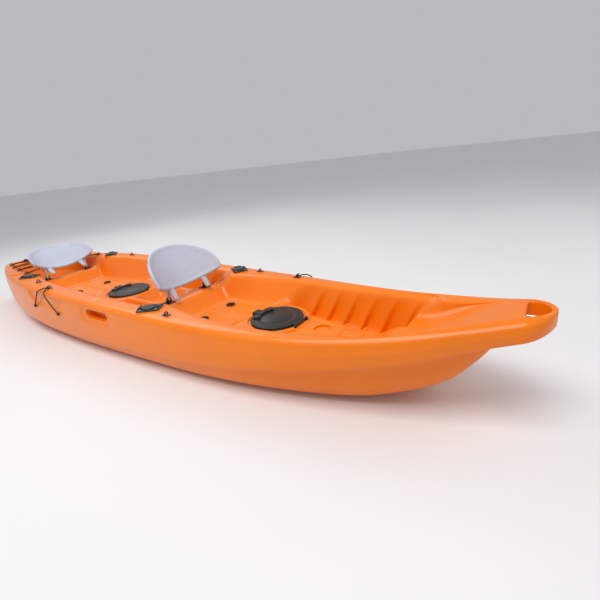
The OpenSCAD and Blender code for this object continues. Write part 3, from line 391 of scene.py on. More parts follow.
def orangePlastic():
    # rotomoulded polyethylene: faint clouding, orange-peel skin, a few long scuffs
    shade = Shade("orangePlastic", Coat_Roughness=0.14, Specular_IOR_Level=0.3)
    cloud = shade.grey(shade.noise(orangeLook["cloudScale"], 4), 0.35, 0.7)
    scuff = shade.noise(orangeLook["scuffScale"], 6, 0.62, orangeLook["scuffStretch"])
    scuff = shade.grey(scuff, 0.62, 0.78)
    share = cloud * orangeLook["clouding"] + scuff * orangeLook["scuffing"]
    peel = shade.noise(orangeLook["peelScale"], 2) * 0.7 + shade.noise(orangeLook["waveScale"], 3) * 0.3
    return shade.feed(Base_Color=shade.mix(share, orangeLook["colour"], orangeLook["pale"]),
                      Roughness=cloud * 0.08 + scuff * 0.12 + orangeLook["roughness"],
                      Coat_Weight=orangeLook["coat"] - scuff * orangeLook["scuffing"],
                      Normal=shade.bump(peel, orangeLook["peel"], orangeLook["peelDepth"]))


plasticLooks = {
    "restGrey": {"colour": (0.50, 0.55, 0.67, 1), "pale": (0.60, 0.64, 0.74, 1), "roughness": 0.5,
                 "grain": 520, "depth": 0.0003},
    "blackPlastic": {"colour": (0.011, 0.011, 0.012, 1), "pale": (0.03, 0.03, 0.031, 1), "roughness": 0.42,
                     "grain": 700, "depth": 0.0002},
    "bucketGrey": {"colour": (0.10, 0.10, 0.105, 1), "pale": (0.16, 0.16, 0.165, 1), "roughness": 0.5,
                   "grain": 400, "depth": 0.0003},
    "tanSheet": {"colour": (0.46, 0.29, 0.13, 1), "pale": (0.56, 0.38, 0.19, 1), "roughness": 0.5,
                 "grain": 300, "depth": 0.0003},
    "foamWhite": {"colour": (0.78, 0.78, 0.75, 1), "pale": (0.86, 0.86, 0.84, 1), "roughness": 0.8,
                  "grain": 160, "depth": 0.001},
}


def mouldedPlastic(name, look):
    # moulded plastic with a spark-eroded grain and rubbed, lighter patches
    shade = Shade(name, Specular_IOR_Level=0.45)
    sockets = {"Vector": shade.place(), "Scale": look["grain"]}
    cell = shade.node("ShaderNodeTexVoronoi", {"feature": "F1"}, sockets, "Distance")
    wear = shade.grey(shade.noise(14, 5, 0.6), 0.5, 0.8)
    return shade.feed(Base_Color=shade.mix(wear * 0.6 + cell * 0.25, look["colour"], look["pale"]),
                      Roughness=look["roughness"] - wear * 0.1 + cell * 0.06,
                      Normal=shade.bump(cell, 0.3, look["depth"]))


rubberLook = {"colour": (0.012, 0.012, 0.013, 1), "dusty": (0.035, 0.034, 0.033, 1), "roughness": 0.6}


def blackRubber():
    # matt, with dust in blotches
    shade = Shade("blackRubber", Specular_IOR_Level=0.35)
    dust = shade.grey(shade.noise(30, 5, 0.65), 0.45, 0.75)
    return shade.feed(Base_Color=shade.mix(dust, rubberLook["colour"], rubberLook["dusty"]),
                      Roughness=dust * 0.15 + rubberLook["roughness"],
                      Normal=shade.bump(shade.noise(260, 3), 0.25, 0.0002))


steelLook = {"dull": (0.66, 0.67, 0.68, 1), "bright": (0.80, 0.80, 0.79, 1), "roughness": 0.14}


def stainlessSteel():
    # fine lines from polishing, with duller blotches
    shade = Shade("stainlessSteel", Metallic=1.0)
    line = shade.noise(60, 4, 0.6, (1, 1, 18))
    blotch = shade.noise(35, 3)
    return shade.feed(Base_Color=shade.mix(blotch, steelLook["dull"], steelLook["bright"]),
                      Roughness=line * 0.16 + blotch * 0.1 + steelLook["roughness"],
                      Normal=shade.bump(line, 0.12, 0.0001))


cordLook = {"dark": (0.012, 0.011, 0.011, 1), "light": (0.05, 0.046, 0.042, 1),
            "fleck": (0.16, 0.12, 0.08, 1), "strandsPerMetre": 420, "strandsRound": 6}


def braidedCord():
    # two families of crossing strands along the cord's own map, with pale flecks
    shade = Shade("braidedCord", Specular_IOR_Level=0.3)
    chart = shade.node("ShaderNodeTexCoord", out="UV")
    along, around = (shade.node("ShaderNodeSeparateXYZ", {}, {0: chart}, axis) for axis in "XY")
    along, around = along * cordLook["strandsPerMetre"], around * cordLook["strandsRound"]
    fullTurn = 6.2832
    strand = shade.sine((along + around) * fullTurn) * shade.sine((along - around) * fullTurn) * 0.5 + 0.5
    fleck = shade.grey(shade.noise(900, 2), 0.62, 0.7)
    tint = shade.mix(fleck * 0.4, shade.mix(strand, cordLook["dark"], cordLook["light"]), cordLook["fleck"])
    return shade.feed(Base_Color=tint, Roughness=strand * 0.2 + 0.62, Normal=shade.bump(strand, 0.6, 0.0006))


orange = orangePlastic()
plastics = {name: mouldedPlastic(name, look) for name, look in plasticLooks.items()}
rubber, steel, cordBlack = blackRubber(), stainlessSteel(), braidedCord()
finishOf = {"hull_orange": orange, "rest_grey": plastics["restGrey"],
            "black_plastic": plastics["blackPlastic"], "black_rubber": rubber,
            "bucket_grey": plastics["bucketGrey"], "stainless": steel, "cord_black": cordBlack,
            "foam_white": plastics["foamWhite"], "tan_plate": plastics["tanSheet"]}
for part in frame["record"]["subparts"]:
    shown = nodes[part["node"]]
    shown.data.materials.clear()
    shown.data.materials.append(finishOf[part["material_slot"]])
print("materials made")

hullLines = {"halfLength": 1850.0, "halfBeam": 392.0, "gunwale": 280.0, "bowRise": 104.0, "tank": 162.0,
             "bulkhead": 222.0, "seat": 156.0, "hatchDeck": 176.0, "foot": 104.0, "childRim": 206.0,
             "childDepth": 62.0, "childStep": 20.0, "bow": 222.0, "bowFore": 232.0, "pastSheer": 420.0,
             "bowRound": 75.0, "sternRound": 32.0, "tipShare": 0.2, "tipDrop": 14.0, "tipLift": 16.0,
             "crown": 2.5}
# shares of the half length, then shares of the half beam or heights
breadthLine = [(-1, 0.285), (-0.95, 0.385), (-0.8, 0.605), (-0.6, 0.835), (-0.4, 0.965), (-0.15, 1),
               (0.1, 0.975), (0.35, 0.925), (0.5, 0.86), (0.65, 0.725), (0.8, 0.53), (0.9, 0.365),
               (0.96, 0.272), (1, 0.235)]
sheerLine = [(-1, -14), (-0.8, 4), (-0.5, 20), (-0.2, 11), (0.1, 0), (0.4, -10), (0.58, -6), (0.75, 17),
             (0.9, 0.62 * hullLines["bowRise"]), (1, hullLines["bowRise"])]
partingLine = [(-1, 158), (-0.8, 112), (-0.55, 77), (-0.2, 72), (0.1, 84), (0.4, 112), (0.65, 165),
               (0.8, 216), (0.92, 278), (1, 316)]
keelLine = [(-0.96, 118), (-0.9, 96), (-0.87, 66), (-0.82, 0), (0, 0), (0.55, 0), (0.7, 13), (0.775, 46),
            (0.857, 112), (0.9, 190), (0.928, 258)]
lowerLine = [(-0.96, 0.29), (-0.9, 0.41), (-0.8, 0.545), (-0.6, 0.775), (-0.4, 0.905), (-0.15, 0.94),
             (0.1, 0.915), (0.35, 0.865), (0.5, 0.79), (0.65, 0.645), (0.8, 0.43), (0.88, 0.26),
             (0.915, 0.13), (0.928, 0.05)]
bilgeLine = [(-0.96, 0.9), (-0.5, 0.62), (0.3, 0.6), (0.7, 0.85), (0.93, 1)]
# places along the hull, then widths from the centreline or levels
gunwaleInner = [(-1850, 60), (-1700, 98), (-1600, 122), (-1440, 160), (-1242, 200), (-1094, 222),
                (-1000, 230), (-900, 222), (-820, 244), (-700, 266), (-500, 284), (-300, 293),
                (-100, 298), (100, 296), (240, 286), (300, 250), (360, 218), (440, 224), (540, 240),
                (700, 255), (850, 262), (1000, 258), (1200, 236), (1350, 206), (1500, 168), (1650, 116),
                (1760, 72), (1850, 40)]
floorEdge = [(-1850, 40), (-1700, 76), (-1557, 110), (-1300, 158), (-1094, 190), (-1000, 196),
             (-900, 176), (-800, 182), (-472, 204), (-300, 226), (-100, 244), (200, 240), (300, 206),
             (360, 170), (450, 164), (684, 176), (760, 196), (850, 206), (1000, 206), (1200, 186),
             (1370, 150), (1500, 112), (1650, 72), (1760, 40), (1850, 24)]
consoleEdge = [(-1850, 24), (-1700, 48), (-1557, 70), (-1094, 120), (-850, 110), (-560, 130), (-420, 178),
               (-280, 180), (-140, 136), (130, 128), (200, 146), (270, 152), (380, 130), (650, 118),
               (740, 160), (850, 152), (1000, 98), (1300, 40), (1400, 46), (1500, 60), (1650, 44),
               (1760, 24), (1850, 14)]
sternLine = [(-1730, "pastSheer"), (-1640, "tank"), (-1118, "tank"), (-1064, "bulkhead"),
             (-1008, "bulkhead"), (-905, "seat")]
bowLine = [(1540, "bowFore"), (1810, "pastSheer")]
floorLine = sternLine + [(-460, "seat"), (-400, "hatchDeck"), (-250, "hatchDeck"), (-165, "foot"),
                         (205, "foot"), (268, "bulkhead"), (300, "bulkhead"), (392, "seat"),
                         (690, "seat"), (735, "hatchDeck"), (760, "hatchDeck"), (830, "foot"),
                         (1330, "foot"), (1420, "bow")] + bowLine
consoleLine = sternLine + [(-500, "seat"), (-445, "hatchDeck"), (-140, "hatchDeck"), (-105, "childRim"),
                           (150, "childRim"), (232, "bulkhead"), (290, "bulkhead"), (392, "seat"),
                           (650, "seat"), (705, "hatchDeck"), (1290, "hatchDeck"),
                           (1400, "bow")] + bowLine
bowlLine = [(-112, 0), (-60, "childDepth"), (80, "childDepth"), (150, "childStep"), (262, 0)]
foredeck = {"start": 1420, "end": 1725, "depth": 78.0, "rollStart": 1420, "rollEnd": 1730}
ridgeRows = [{"start": 104, "pitch": 62, "count": 3, "lean": 0.5},
             {"start": 806, "pitch": 92, "count": 6, "lean": 1.0}]
ridgeShape = {"depth": 28.0, "peak": 0.84, "slant": 84.0, "fade": 185.0}
# pairs are a length in millimetres and the share of a width or height that it may not pass
section = {"flat": 0.55, "lowest": 0.3, "gunwale": 0.72, "rollIn": 0.2, "floorIn": 0.08, "consoleIn": 0.2,
           "bandStep": (22, 0.3), "bandFoot": (5, 0.1), "bandLow": (10, 0.2), "shoulder": (8, 0.12),
           "shoulderDrop": 16, "upper": (16, 0.16), "upperDrop": 8, "edge": (24, 0.2), "soft": (8, 0.04),
           "rollWide": (36, 0.4), "rollHigh": (34, 0.46), "rollCorner": 0.134, "wallTop": (12, 0.4),
           "wallFoot": (12, 0.3), "flank": (20, 0.08), "plateau": 0.78, "bowl": 0.42,
           "afloat": (-1768, -1756, 1700, 1716), "crowned": (-1700, -1500, 1400, 1650)}
# steps between the section's corners, and the corners where the side band and the gunwale start
sectionSteps = [4] + [1] * 9 + [4, 3, 9, 9, 3, 3, 3, 3, 4, 10, 4, 9, 5, 4, 7, 6]
bandStart, gunwaleStart = sum(sectionSteps[:11]), sum(sectionSteps[:14])
# rounds of softening, and the sizes of the smaller rings that close each end
sectionRounds, endShares = 3, (0.85, 0.5)
# start, end and step of each run of stations
stationSpans = [(-1850, -1846, 1.3), (-1846, -1816, 3.5), (-1816, -900, 11.0), (-900, -480, 8.0),
                (-480, 100, 10.0), (100, 300, 6.6), (300, 380, 8.0), (380, 690, 8.0), (690, 800, 8.5),
                (800, 1370, 6.2), (1370, 1775, 9.0), (1775, 1835, 5.0), (1835, 1850, 2.0)]


def tableRows(table, x):
    # the table as arrays, and for each x its row and how far it is to the next
    xs = np.array([row[0] for row in table], float)
    ys = np.array([hullLines[row[1]] if isinstance(row[1], str) else row[1] for row in table], float)
    i = np.clip(np.searchsorted(xs, x, "right") - 1, 0, len(xs) - 2)
    return xs, ys, i, np.clip((x - xs[i]) / (xs[i + 1] - xs[i]), 0, 1)


def fairAt(table, x):
    # cubic through the rows, its slope at a row that of the line joining the rows on either side
    xs, ys, i, s = tableRows(table, x)
    low, high = np.maximum(np.arange(len(xs)) - 1, 0), np.minimum(np.arange(len(xs)) + 1, len(xs) - 1)
    slope = (ys[high] - ys[low]) / (xs[high] - xs[low])
    h = xs[i + 1] - xs[i]
    return ((1 + 2 * s) * (1 - s) ** 2 * ys[i] + s * (1 - s) ** 2 * h * slope[i]
            + s * s * (3 - 2 * s) * ys[i + 1] - s * s * (1 - s) * h * slope[i + 1])


def stepAt(table, x):
    # level stretches joined by eased ramps
    _, ys, i, s = tableRows(table, x)
    return ys[i] + (ys[i + 1] - ys[i]) * s * s * (3 - 2 * s)


def ease(low, high, x):
    # 0 up to low and 1 from high, with 3 s squared less 2 s cubed between
    s = np.clip((x - low) / (high - low), 0, 1)
    return s * s * (3 - 2 * s)


def easedSpan(limits, x):
    # 0 outside four rising places, 1 between the middle two
    return ease(limits[0], limits[1], x) * (1 - ease(limits[2], limits[3], x))


def endRound(d, r):
    # height of a quarter circle of radius r at a distance d from its end
    return np.where(d >= r, 1.0, np.sqrt(np.maximum(1 - (1 - np.clip(d, 0, r) / r) ** 2, 0)))


def bowEnd(x):
    # 1 along the hull, falling round a quarter circle to the tip's share at the bow
    return np.maximum(hullLines["tipShare"], endRound(hullLines["halfLength"] - x, hullLines["bowRound"]))


def halfBreadth(x):
    # the fair line of breadths, narrowed round a quarter circle at each end
    stern = 1 - endRound(x + hullLines["halfLength"], hullLines["sternRound"])
    wide = hullLines["halfBeam"] * fairAt(breadthLine, x / hullLines["halfLength"])
    return wide * bowEnd(x) - hullLines["sternRound"] * stern


def sheer(x):
    # the gunwale's height: its level and a fair line of rises, a little lower at the bow's tip
    rise = fairAt(sheerLine, x / hullLines["halfLength"])
    return hullLines["gunwale"] + rise - hullLines["tipDrop"] * (1 - bowEnd(x))


def deckTop(x):
    # the sheer at one place, as a plain number
    return float(sheer(np.array(float(x))))


def parting(x):
    # the height where the side band starts, a little higher at the bow's tip
    return fairAt(partingLine, x / hullLines["halfLength"]) + hullLines["tipLift"] * (1 - bowEnd(x))


def ridgeAt(x):
    # a saw wave: a long rise, then a short fall, for each row of footrests
    depth, lean, peak, fade = np.zeros_like(x), np.zeros_like(x), ridgeShape["peak"], ridgeShape["fade"]
    for row in ridgeRows:
        t = (x - row["start"]) / row["pitch"]
        end = row["start"] + row["pitch"] * row["count"]
        f = t - np.floor(t)
        saw = np.where(f < peak, f / peak, (1 - f) / (1 - peak))
        depth += np.where((t > 0) & (t < row["count"]), ridgeShape["depth"] * saw, 0)
        spread = ease(row["start"] - fade, row["start"], x) - ease(end, end + fade, x)
        lean += row["lean"] * ridgeShape["slant"] * spread
    return depth, lean


def least(key, size):
    # a length of the section, or its share of a size where that is less
    return np.minimum(section[key][0], section[key][1] * size)


def sectionPoints(x):
    # corners of half a cross section at each station, from the keel up the side and in to the middle
    b, zp, zs = halfBreadth(x), parting(x), sheer(x)
    share, flat = x / hullLines["halfLength"], section["flat"]
    deep = np.maximum(zp - np.maximum(fairAt(keelLine, share), 0), 0)
    zk = zp - deep * easedSpan(section["afloat"], x)
    lower = np.maximum(hullLines["halfBeam"] * fairAt(lowerLine, share), section["lowest"] * b)
    bl = np.minimum(b - least("bandStep", b), lower)
    e = fairAt(bilgeLine, share)
    roll = ease(foredeck["rollStart"], foredeck["rollEnd"], x)
    keep = 1 - roll
    yg = np.minimum(fairAt(gunwaleInner, x), (section["gunwale"] - section["rollIn"] * roll) * b)
    yf = np.minimum(fairAt(floorEdge, x), yg - section["floorIn"] * b)
    yc = np.minimum(fairAt(consoleEdge, x), yf - section["consoleIn"] * b)
    dish = zs - 1 - foredeck["depth"] * (1 - ease(foredeck["start"], foredeck["end"], x))
    zf, zc = (np.where(x > foredeck["start"], dish, np.minimum(zs - 1, stepAt(line, x)))
              for line in (floorLine, consoleLine))
    rollWide, rollHigh = least("rollWide", b), least("rollHigh", zs - zp)
    tight = section["rollCorner"]
    edgeTop = least("edge", b) * keep + rollWide * roll
    zb = zc - stepAt(bowlLine, x)
    r, lean = ridgeAt(x)
    soft = least("soft", b)
    rows = [(x, 0 * b, zk), (x, flat * bl, zk)]
    for a in np.radians(np.arange(10, 91, 10)):
        up = 1 - np.maximum(np.cos(a), 0) ** e
        rows.append((x, bl * (flat + (1 - flat) * np.sin(a) ** e), zk + (zp - zk) * up))
    crown = hullLines["crown"] * easedSpan(section["crowned"], x)
    shoulder = (x, b - tight * rollWide * roll - least("shoulder", b) * keep,
                zs - section["shoulderDrop"] * keep - 0.5 * rollHigh * roll)
    upper = (x, b - 0.5 * rollWide * roll - least("upper", b) * keep,
             zs - section["upperDrop"] * keep - tight * rollHigh * roll)
    rows += [(x, b - least("bandFoot", b), zp),
             (x, b - 1, zp + least("bandLow", zs - zp)),
             (x, b, zp + 0.5 * (zs - zp)),
             shoulder,
             upper,
             (x, b - edgeTop, zs),
             (x + 0.5 * lean, 0.5 * (b - edgeTop + yg + soft), zs + crown),
             (x + lean, yg + soft, zs),
             (x + 0.9 * lean, yg - soft, zs - least("wallTop", zs - zf)),
             (x + 0.15 * lean, yf + soft - r, zf + least("wallFoot", zs - zf)),
             (x, yf - 1.4 * soft - r, zf),
             (x, yc + least("flank", b), zf),
             (x, yc, zc), (x, section["plateau"] * yc, zc), (x, section["bowl"] * yc, zb), (x, 0 * b, zb)]
    return np.stack([np.stack(np.broadcast_arrays(*row), -1) for row in rows], 1)


def softened(grid, rounds):
    # averages each point with its two neighbours along the section; the centreline points stay on it
    for _ in range(rounds):
        inner = 0.25 * grid[:, :-2] + 0.5 * grid[:, 1:-1] + 0.25 * grid[:, 2:]
        grid = np.concatenate([grid[:, :1], inner, grid[:, -1:]], 1)
    return grid


def inStadium(x, y, strip):
    # 1 inside a round-ended strip along x, easing to 0 over its edge
    d = np.hypot(np.maximum(np.abs(x) - strip["half"], 0), y)
    return 1 - ease(strip["radius"] - strip["edge"], strip["radius"], d)


seatPans = [{"aft": -868, "fore": -498, "half": 168, "lobe": 62, "pitch": 31},
            {"aft": 402, "fore": 650, "half": 152, "lobe": 56, "pitch": 29}]
panCut = {"depth": 4.4, "edge": 9.0, "corner": 52.0, "cornerStart": 0.62, "lobePower": 2.2,
          "panelDrop": 1.2, "ribDepth": 2.6, "ribWidth": 4.5, "ribFade": (10, 26), "middleFade": (9, 22),
          "grooveWidth": 5.0, "edgeDrop": 2.6, "edgeRun": 7.0, "under": 7.5, "rows": 190, "columns": 61}
gunwaleDip = {"x": 45, "y": 334, "half": 62, "radius": 17, "edge": 11, "depth": 4.5}
ledgeAt = {1: 772, -1: -477}
ledgeShape = {"top": 235.0, "bottom": 150.0, "high": 22.0, "low": 96.0, "depth": 7.0, "endRun": 16,
              "topRun": (-6, 8), "footRun": 12}
holdSurround = {"x": 45, "z": 224, "half": 96, "radius": 42, "edge": 14, "depth": 6.0}


def panEnds(seat, y):
    # fore end with two lobes, and aft end with rounded corners
    across = np.abs(y) / seat["half"]
    start = panCut["cornerStart"]
    fore = seat["fore"] - seat["lobe"] * np.abs(2 * across - 1) ** panCut["lobePower"]
    return fore, seat["aft"] + panCut["corner"] * np.clip((across - start) / (1 - start), 0, 2) ** 2


def panInside(seat, x, y):
    # distance inside a pan, below zero outside it
    fore, aft = panEnds(seat, y)
    return np.minimum(np.minimum(fore - x, x - aft), seat["half"] - np.abs(y))


def hullDetails(grid, top, side):
    # seat recesses and finger dips on the deck; hand-hold surrounds in the sides
    x, y, z = grid[..., 0], grid[..., 1], grid[..., 2]
    for seat in seatPans:
        z = z - np.where(top, panCut["depth"] * ease(0, panCut["edge"], panInside(seat, x, y)), 0)
    dip = inStadium(x - gunwaleDip["x"], y - gunwaleDip["y"], gunwaleDip)
    z = z - np.where(top, gunwaleDip["depth"] * dip, 0)
    surround = inStadium(x - holdSurround["x"], z - holdSurround["z"], holdSurround)
    y = y - np.where(side, holdSurround["depth"] * surround, 0)
    return np.stack([x, y, z], -1)


def keeperLedge(grid, side, middle):
    # a shallow tapering recess under the gunwale
    x, down = grid[..., 0], sheer(grid[..., 0]) - grid[..., 2]
    high, low = ledgeShape["high"], ledgeShape["low"]
    half = ledgeShape["top"] + (ledgeShape["bottom"] - ledgeShape["top"]) * (down - high) / (low - high)
    inside = ease(0, ledgeShape["endRun"], half - np.abs(x - middle))
    inside = inside * ease(*ledgeShape["topRun"], down - high) * ease(0, ledgeShape["footRun"], low - down)
    pressed = grid.copy()
    pressed[..., 1] -= np.where(side, ledgeShape["depth"] * inside, 0)
    return pressed


def stationRow():
    # places along the hull: close together at the ends and in the seats
    rows = [np.linspace(a, b, max(2, round((b - a) / step)), endpoint=False) for a, b, step in stationSpans]
    return np.append(np.concatenate(rows), hullLines["halfLength"])


def hullSurface():
    # half sections in even steps, softened and mirrored into closed rings that join along the hull
    corners = sectionPoints(stationRow())
    runs = []
    for k, steps in enumerate(sectionSteps):
        s = np.linspace(0, 1, steps, endpoint=False)[None, :, None]
        runs.append(corners[:, k:k + 1] * (1 - s) + corners[:, k + 1:k + 2] * s)
    half = softened(np.concatenate(runs + [corners[:, -1:]], 1), sectionRounds)
    along = np.concatenate([half[:1], 0.25 * half[:-2] + 0.5 * half[1:-1] + 0.25 * half[2:], half[-1:]], 0)
    order = np.arange(half.shape[1])
    half = np.where((order > gunwaleStart)[None, :, None], along, half)
    order = order[None, :]
    onSide = (order > bandStart) & (order < gunwaleStart)
    half = hullDetails(half, order >= gunwaleStart, onSide)
    half[:, 0, 1] = half[:, -1, 1] = 0
    left, right = (keeperLedge(half, onSide, ledgeAt[hand]) for hand in bothSides)
    ring = np.concatenate([left, (right * [1, -1, 1])[:, -2:0:-1]], 1)
    count, around = ring.shape[:2]
    rows, base = [ring.reshape(-1, 3)], count * around
    faces = gridFaces(count, around, False, True).tolist()
    # each end is closed by two smaller copies of its ring and a hub
    for end in (0, count - 1):
        edge, ids = ring[end], np.arange(around) + end * around
        middle = np.array([edge[0, 0], 0, 0.5 * (edge[:, 2].min() + edge[:, 2].max())])
        for share in endShares:
            rows.append(middle + (edge - middle) * share)
            here = base + np.arange(around)
            faces += np.stack([ids, np.roll(ids, -1), np.roll(here, -1), here], 1).tolist()
            ids, base = here, base + around
        rows.append(middle[None])
        faces += [[a, b, base] for a, b in zip(ids, np.roll(ids, -1))]
        base += 1
    return np.vstack(rows), faces


hatchPlaces = [{"x": -291, "collar": 346}, {"x": 848, "collar": 304}]
rodPlaces = [(-900, 274, 1), (-900, -274, -1), (375, 293, 1), (375, -293, -1)]
scupperPlaces = [(-722, 97, 156), (-28, 173, 104), (471, 93, 156), (1068, 130, 104)]
holdShape = {"x": 45, "z": 228.8, "y": 382.0, "tilt": 5.5, "length": 180, "height": 44, "depth": 45,
             "inset": 1.2, "roll": 4}
# radius of each round hole, and the heights that its cutter runs between
holes = {"hatch": (97.3, 60, 260), "scupper": (18.0, -20, 300), "panelScupper": (23.4, -20, 300),
         "rod": (24.3, -152.0, 60), "rodBoss": (24.3, -60, 40), "drain": (12.3, 200, 330),
         "disc": (36.0, 168, 230)}
pockets = {"rodLean": 24.0, "rodTurn": 35.0, "drainX": -1715.0, "discX": 1081.0, "slitX": 175.0,
           "slitY": 48.0, "slit": (17, 2.6, 2.5), "slitCut": (170, 230)}
bossShape = {"rise": 3.0, "deep": 13, "bevel": 2.0, "rod": (54, 42, 16), "eye": (20, 14, 4),
             "bracket": (26, 25, 5)}
grabHole = {"x": 1777.0, "radius": 58.0, "low": 150, "roll": 7, "softness": 5}
sternSlot = {"x": -1785.0, "plan": (28, 71, 16), "depth": 230, "roll": 5}
edgeSink = 0.8


def rodPlace(x, y, side):
    # the rod tube's own frame: turned outwards, then leaned aft
    return at(x, y, deckTop(x) + bossShape["rise"], -side * pockets["rodTurn"], -pockets["rodLean"])


def drilled(kind, place, sides=48):
    # the cutter of one round hole
    radius, low, high = holes[kind]
    return prism(circleLine(radius, sides), low, high, place)


def drilledPair(kind, x, y):
    return [drilled(kind, at(x, s * y, 0)) for s in bothSides]


def hullCutters():
    # all that is cut out of the closed hull
    shapes = [drilled("hatch", at(hatch["x"], 0, 0), 96) for hatch in hatchPlaces]
    for x, y, _ in scupperPlaces:
        shapes += drilledPair("scupper", x, y)
    shapes += [drilled("rod", rodPlace(*spot)) for spot in rodPlaces]
    # the bow grab hole is a half disc with a rolled edge
    half, r = np.radians(np.linspace(-90, 90, 40)), grabHole["radius"]
    arc = np.stack([r * np.cos(half), r * np.sin(half)], -1)
    chord = np.stack([np.zeros(28), np.linspace(r, -r, 30)[1:-1]], -1)
    grab = softLoop(np.vstack([arc, chord]), grabHole["softness"])
    top = sheer(grabHole["x"] + grab[:, 0]) - edgeSink
    shapes.append(flared(grab, grabHole["low"], top, grabHole["roll"], at(grabHole["x"], 0, 0)))
    slot = at(sternSlot["x"], 0, deckTop(sternSlot["x"]) - edgeSink)
    shapes.append(flared(roundedBox(*sternSlot["plan"]), -sternSlot["depth"], 0, sternSlot["roll"], slot))
    shapes.append(drilled("disc", at(pockets["discX"], 0, 0), 72))
    shapes.append(drilled("drain", at(pockets["drainX"], 0, 0)))
    slit, x, y = roundedBox(*pockets["slit"]), pockets["slitX"], pockets["slitY"]
    shapes += [prism(slit, *pockets["slitCut"], at(x, s * y, 0)) for s in bothSides]
    radius = holdShape["height"] / 2
    stadium = roundedBox(holdShape["length"] / 2, radius, radius - 0.5, 14)
    for s in bothSides:
        place = at(holdShape["x"], s * holdShape["y"], holdShape["z"], 0, 0, -s * (90 - holdShape["tilt"]))
        shapes.append(flared(stadium, -holdShape["depth"], -holdShape["inset"], holdShape["roll"], place))
    return shapes


def makeHull():
    # the closed hull surface with its holes and pockets cut out
    points, faces = hullSurface()
    mesh = joinedMesh("hullMoulding", [(points, facesOut(points, faces))])
    mesh.validate()
    piece = finishPiece(linked("hullMoulding", mesh), orange, None)
    cutWith(piece, hullCutters())
    return finishPiece(piece, orange, "hull")


hull = makeHull()
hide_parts("deck", "lower_hull")
print("hull cut,", len(hull.data.polygons), "faces")


def seatPanel(seat, floor):
    # a sheet over the pan's plan with a valley across it at every pitch and one along the middle
    rows, columns, rim = panCut["rows"], panCut["columns"], panCut["edge"]
    v = np.linspace(0, 1, rows)[:, None]
    y = np.linspace(-1, 1, columns)[None, :] * (seat["half"] - rim)
    fore, aft = panEnds(seat, y)
    fore, aft = fore - rim, aft + rim
    x = aft + (fore - aft) * v
    y = np.broadcast_to(y, x.shape)
    phase, depth = (x - seat["aft"]) / seat["pitch"], panInside(seat, x, y)
    valley = np.exp(-(((phase - np.round(phase)) * seat["pitch"]) / panCut["ribWidth"]) ** 2)
    inside = ease(*panCut["ribFade"], depth) * ease(*panCut["middleFade"], np.abs(y))
    groove = np.exp(-(y / panCut["grooveWidth"]) ** 2)
    z = floor - panCut["panelDrop"] - panCut["ribDepth"] * np.maximum(valley * inside, groove)
    z = z - panCut["edgeDrop"] * (1 - ease(0, panCut["edgeRun"], depth - rim))
    top = np.stack([x, y, z], -1).reshape(-1, 3)
    points = np.vstack([top, top * [1, 1, 0] + [0, 0, floor - panCut["under"]]])
    n, face = rows * columns, gridFaces(rows, columns)
    edge = np.concatenate([np.arange(columns), np.arange(1, rows) * columns + columns - 1,
                           (rows - 1) * columns + np.arange(columns - 2, -1, -1),
                           np.arange(rows - 2, 0, -1) * columns])
    after = np.roll(edge, -1)
    walls = np.stack([edge, after, after + n, edge + n], -1)
    return points, facesOut(points, face.tolist() + (face[:, ::-1] + n).tolist() + walls[:, ::-1].tolist())


for seat, end, (x, y, _) in zip(seatPans, ends, scupperPlaces[::2]):
    orangePiece(end + "SeatPanel", [seatPanel(seat, hullLines["seat"])], drilledPair("panelScupper", x, y))
print("seat panels made")

collarShape = {"hole": 97.5, "low": 140, "seat": 179.0, "rimIn": 129.0, "rise": 6.0, "bowNotch": 52.6,
               "sternNotch": 40.0}


def hatchCollar(hatch):
    # a flat ring with a rolled outer edge, and on it two arcs of raised rim set in from that edge
    r, top, low = hatch["collar"] / 2, collarShape["seat"], collarShape["low"]
    hole, inner = collarShape["hole"], collarShape["rimIn"]
    base = [(hole, low), (hole, top - 1), (hole + 1, top), (r - 3, top), (r - 0.9, top - 0.9), (r, top - 3),
            (r, low)]
    rise, outer = top + collarShape["rise"], r - 4
    rim = [(inner, top - 3), (inner, rise - 2), (inner + 0.7, rise - 0.6), (inner + 2, rise),
           (outer - 6, rise), (outer - 3, rise - 0.9), (outer - 1, rise - 3), (outer, top + 2),
           (outer, top - 3)]
    middle = 0.5 * (inner + outer)
    start = math.degrees(math.asin(collarShape["bowNotch"] / middle))
    end = 180 - math.degrees(math.asin(collarShape["sternNotch"] / middle))
    centre = (hatch["x"], 0, 0)
    sectors = ((start, end), (-end, -start))
    return [turned(base, centre, 120)] + [turned(rim, centre, 60, sector) for sector in sectors]


for hatch, end in zip(hatchPlaces, ends):
    orangePiece(end + "HatchCollar", hatchCollar(hatch))

eyePlaces = [(-685, 310), (513, 310)]
laceEyes = [(-1628, 127), (-1440, 173), (-1242, 211), (-1022, 246)]
keeperPlaces = [(-477, 341, -1), (772, 290, 1)]
rests = [{"end": "rear", "x": -1032, "arm": 135, "lean": 54},
         {"end": "front", "x": 265, "arm": 118, "lean": 32}]
# profiles of radius and height
scupperRing = [(18, -30), (18, 1.2), (18.8, 2), (22, 2), (23, 1), (23, -30)]
drainRing = [(12.3, -13), (12.3, 0), (34, 0), (35.4, -0.6), (36, -2), (36, -13)]


def boss(kind, x, y, base, turn=0.0):
    # a low pad moulded on the deck
    place = at(x, y, base + bossShape["rise"], turn)
    return pad(roundedBox(*bossShape[kind]), -bossShape["deep"], 0, bossShape["bevel"], place)


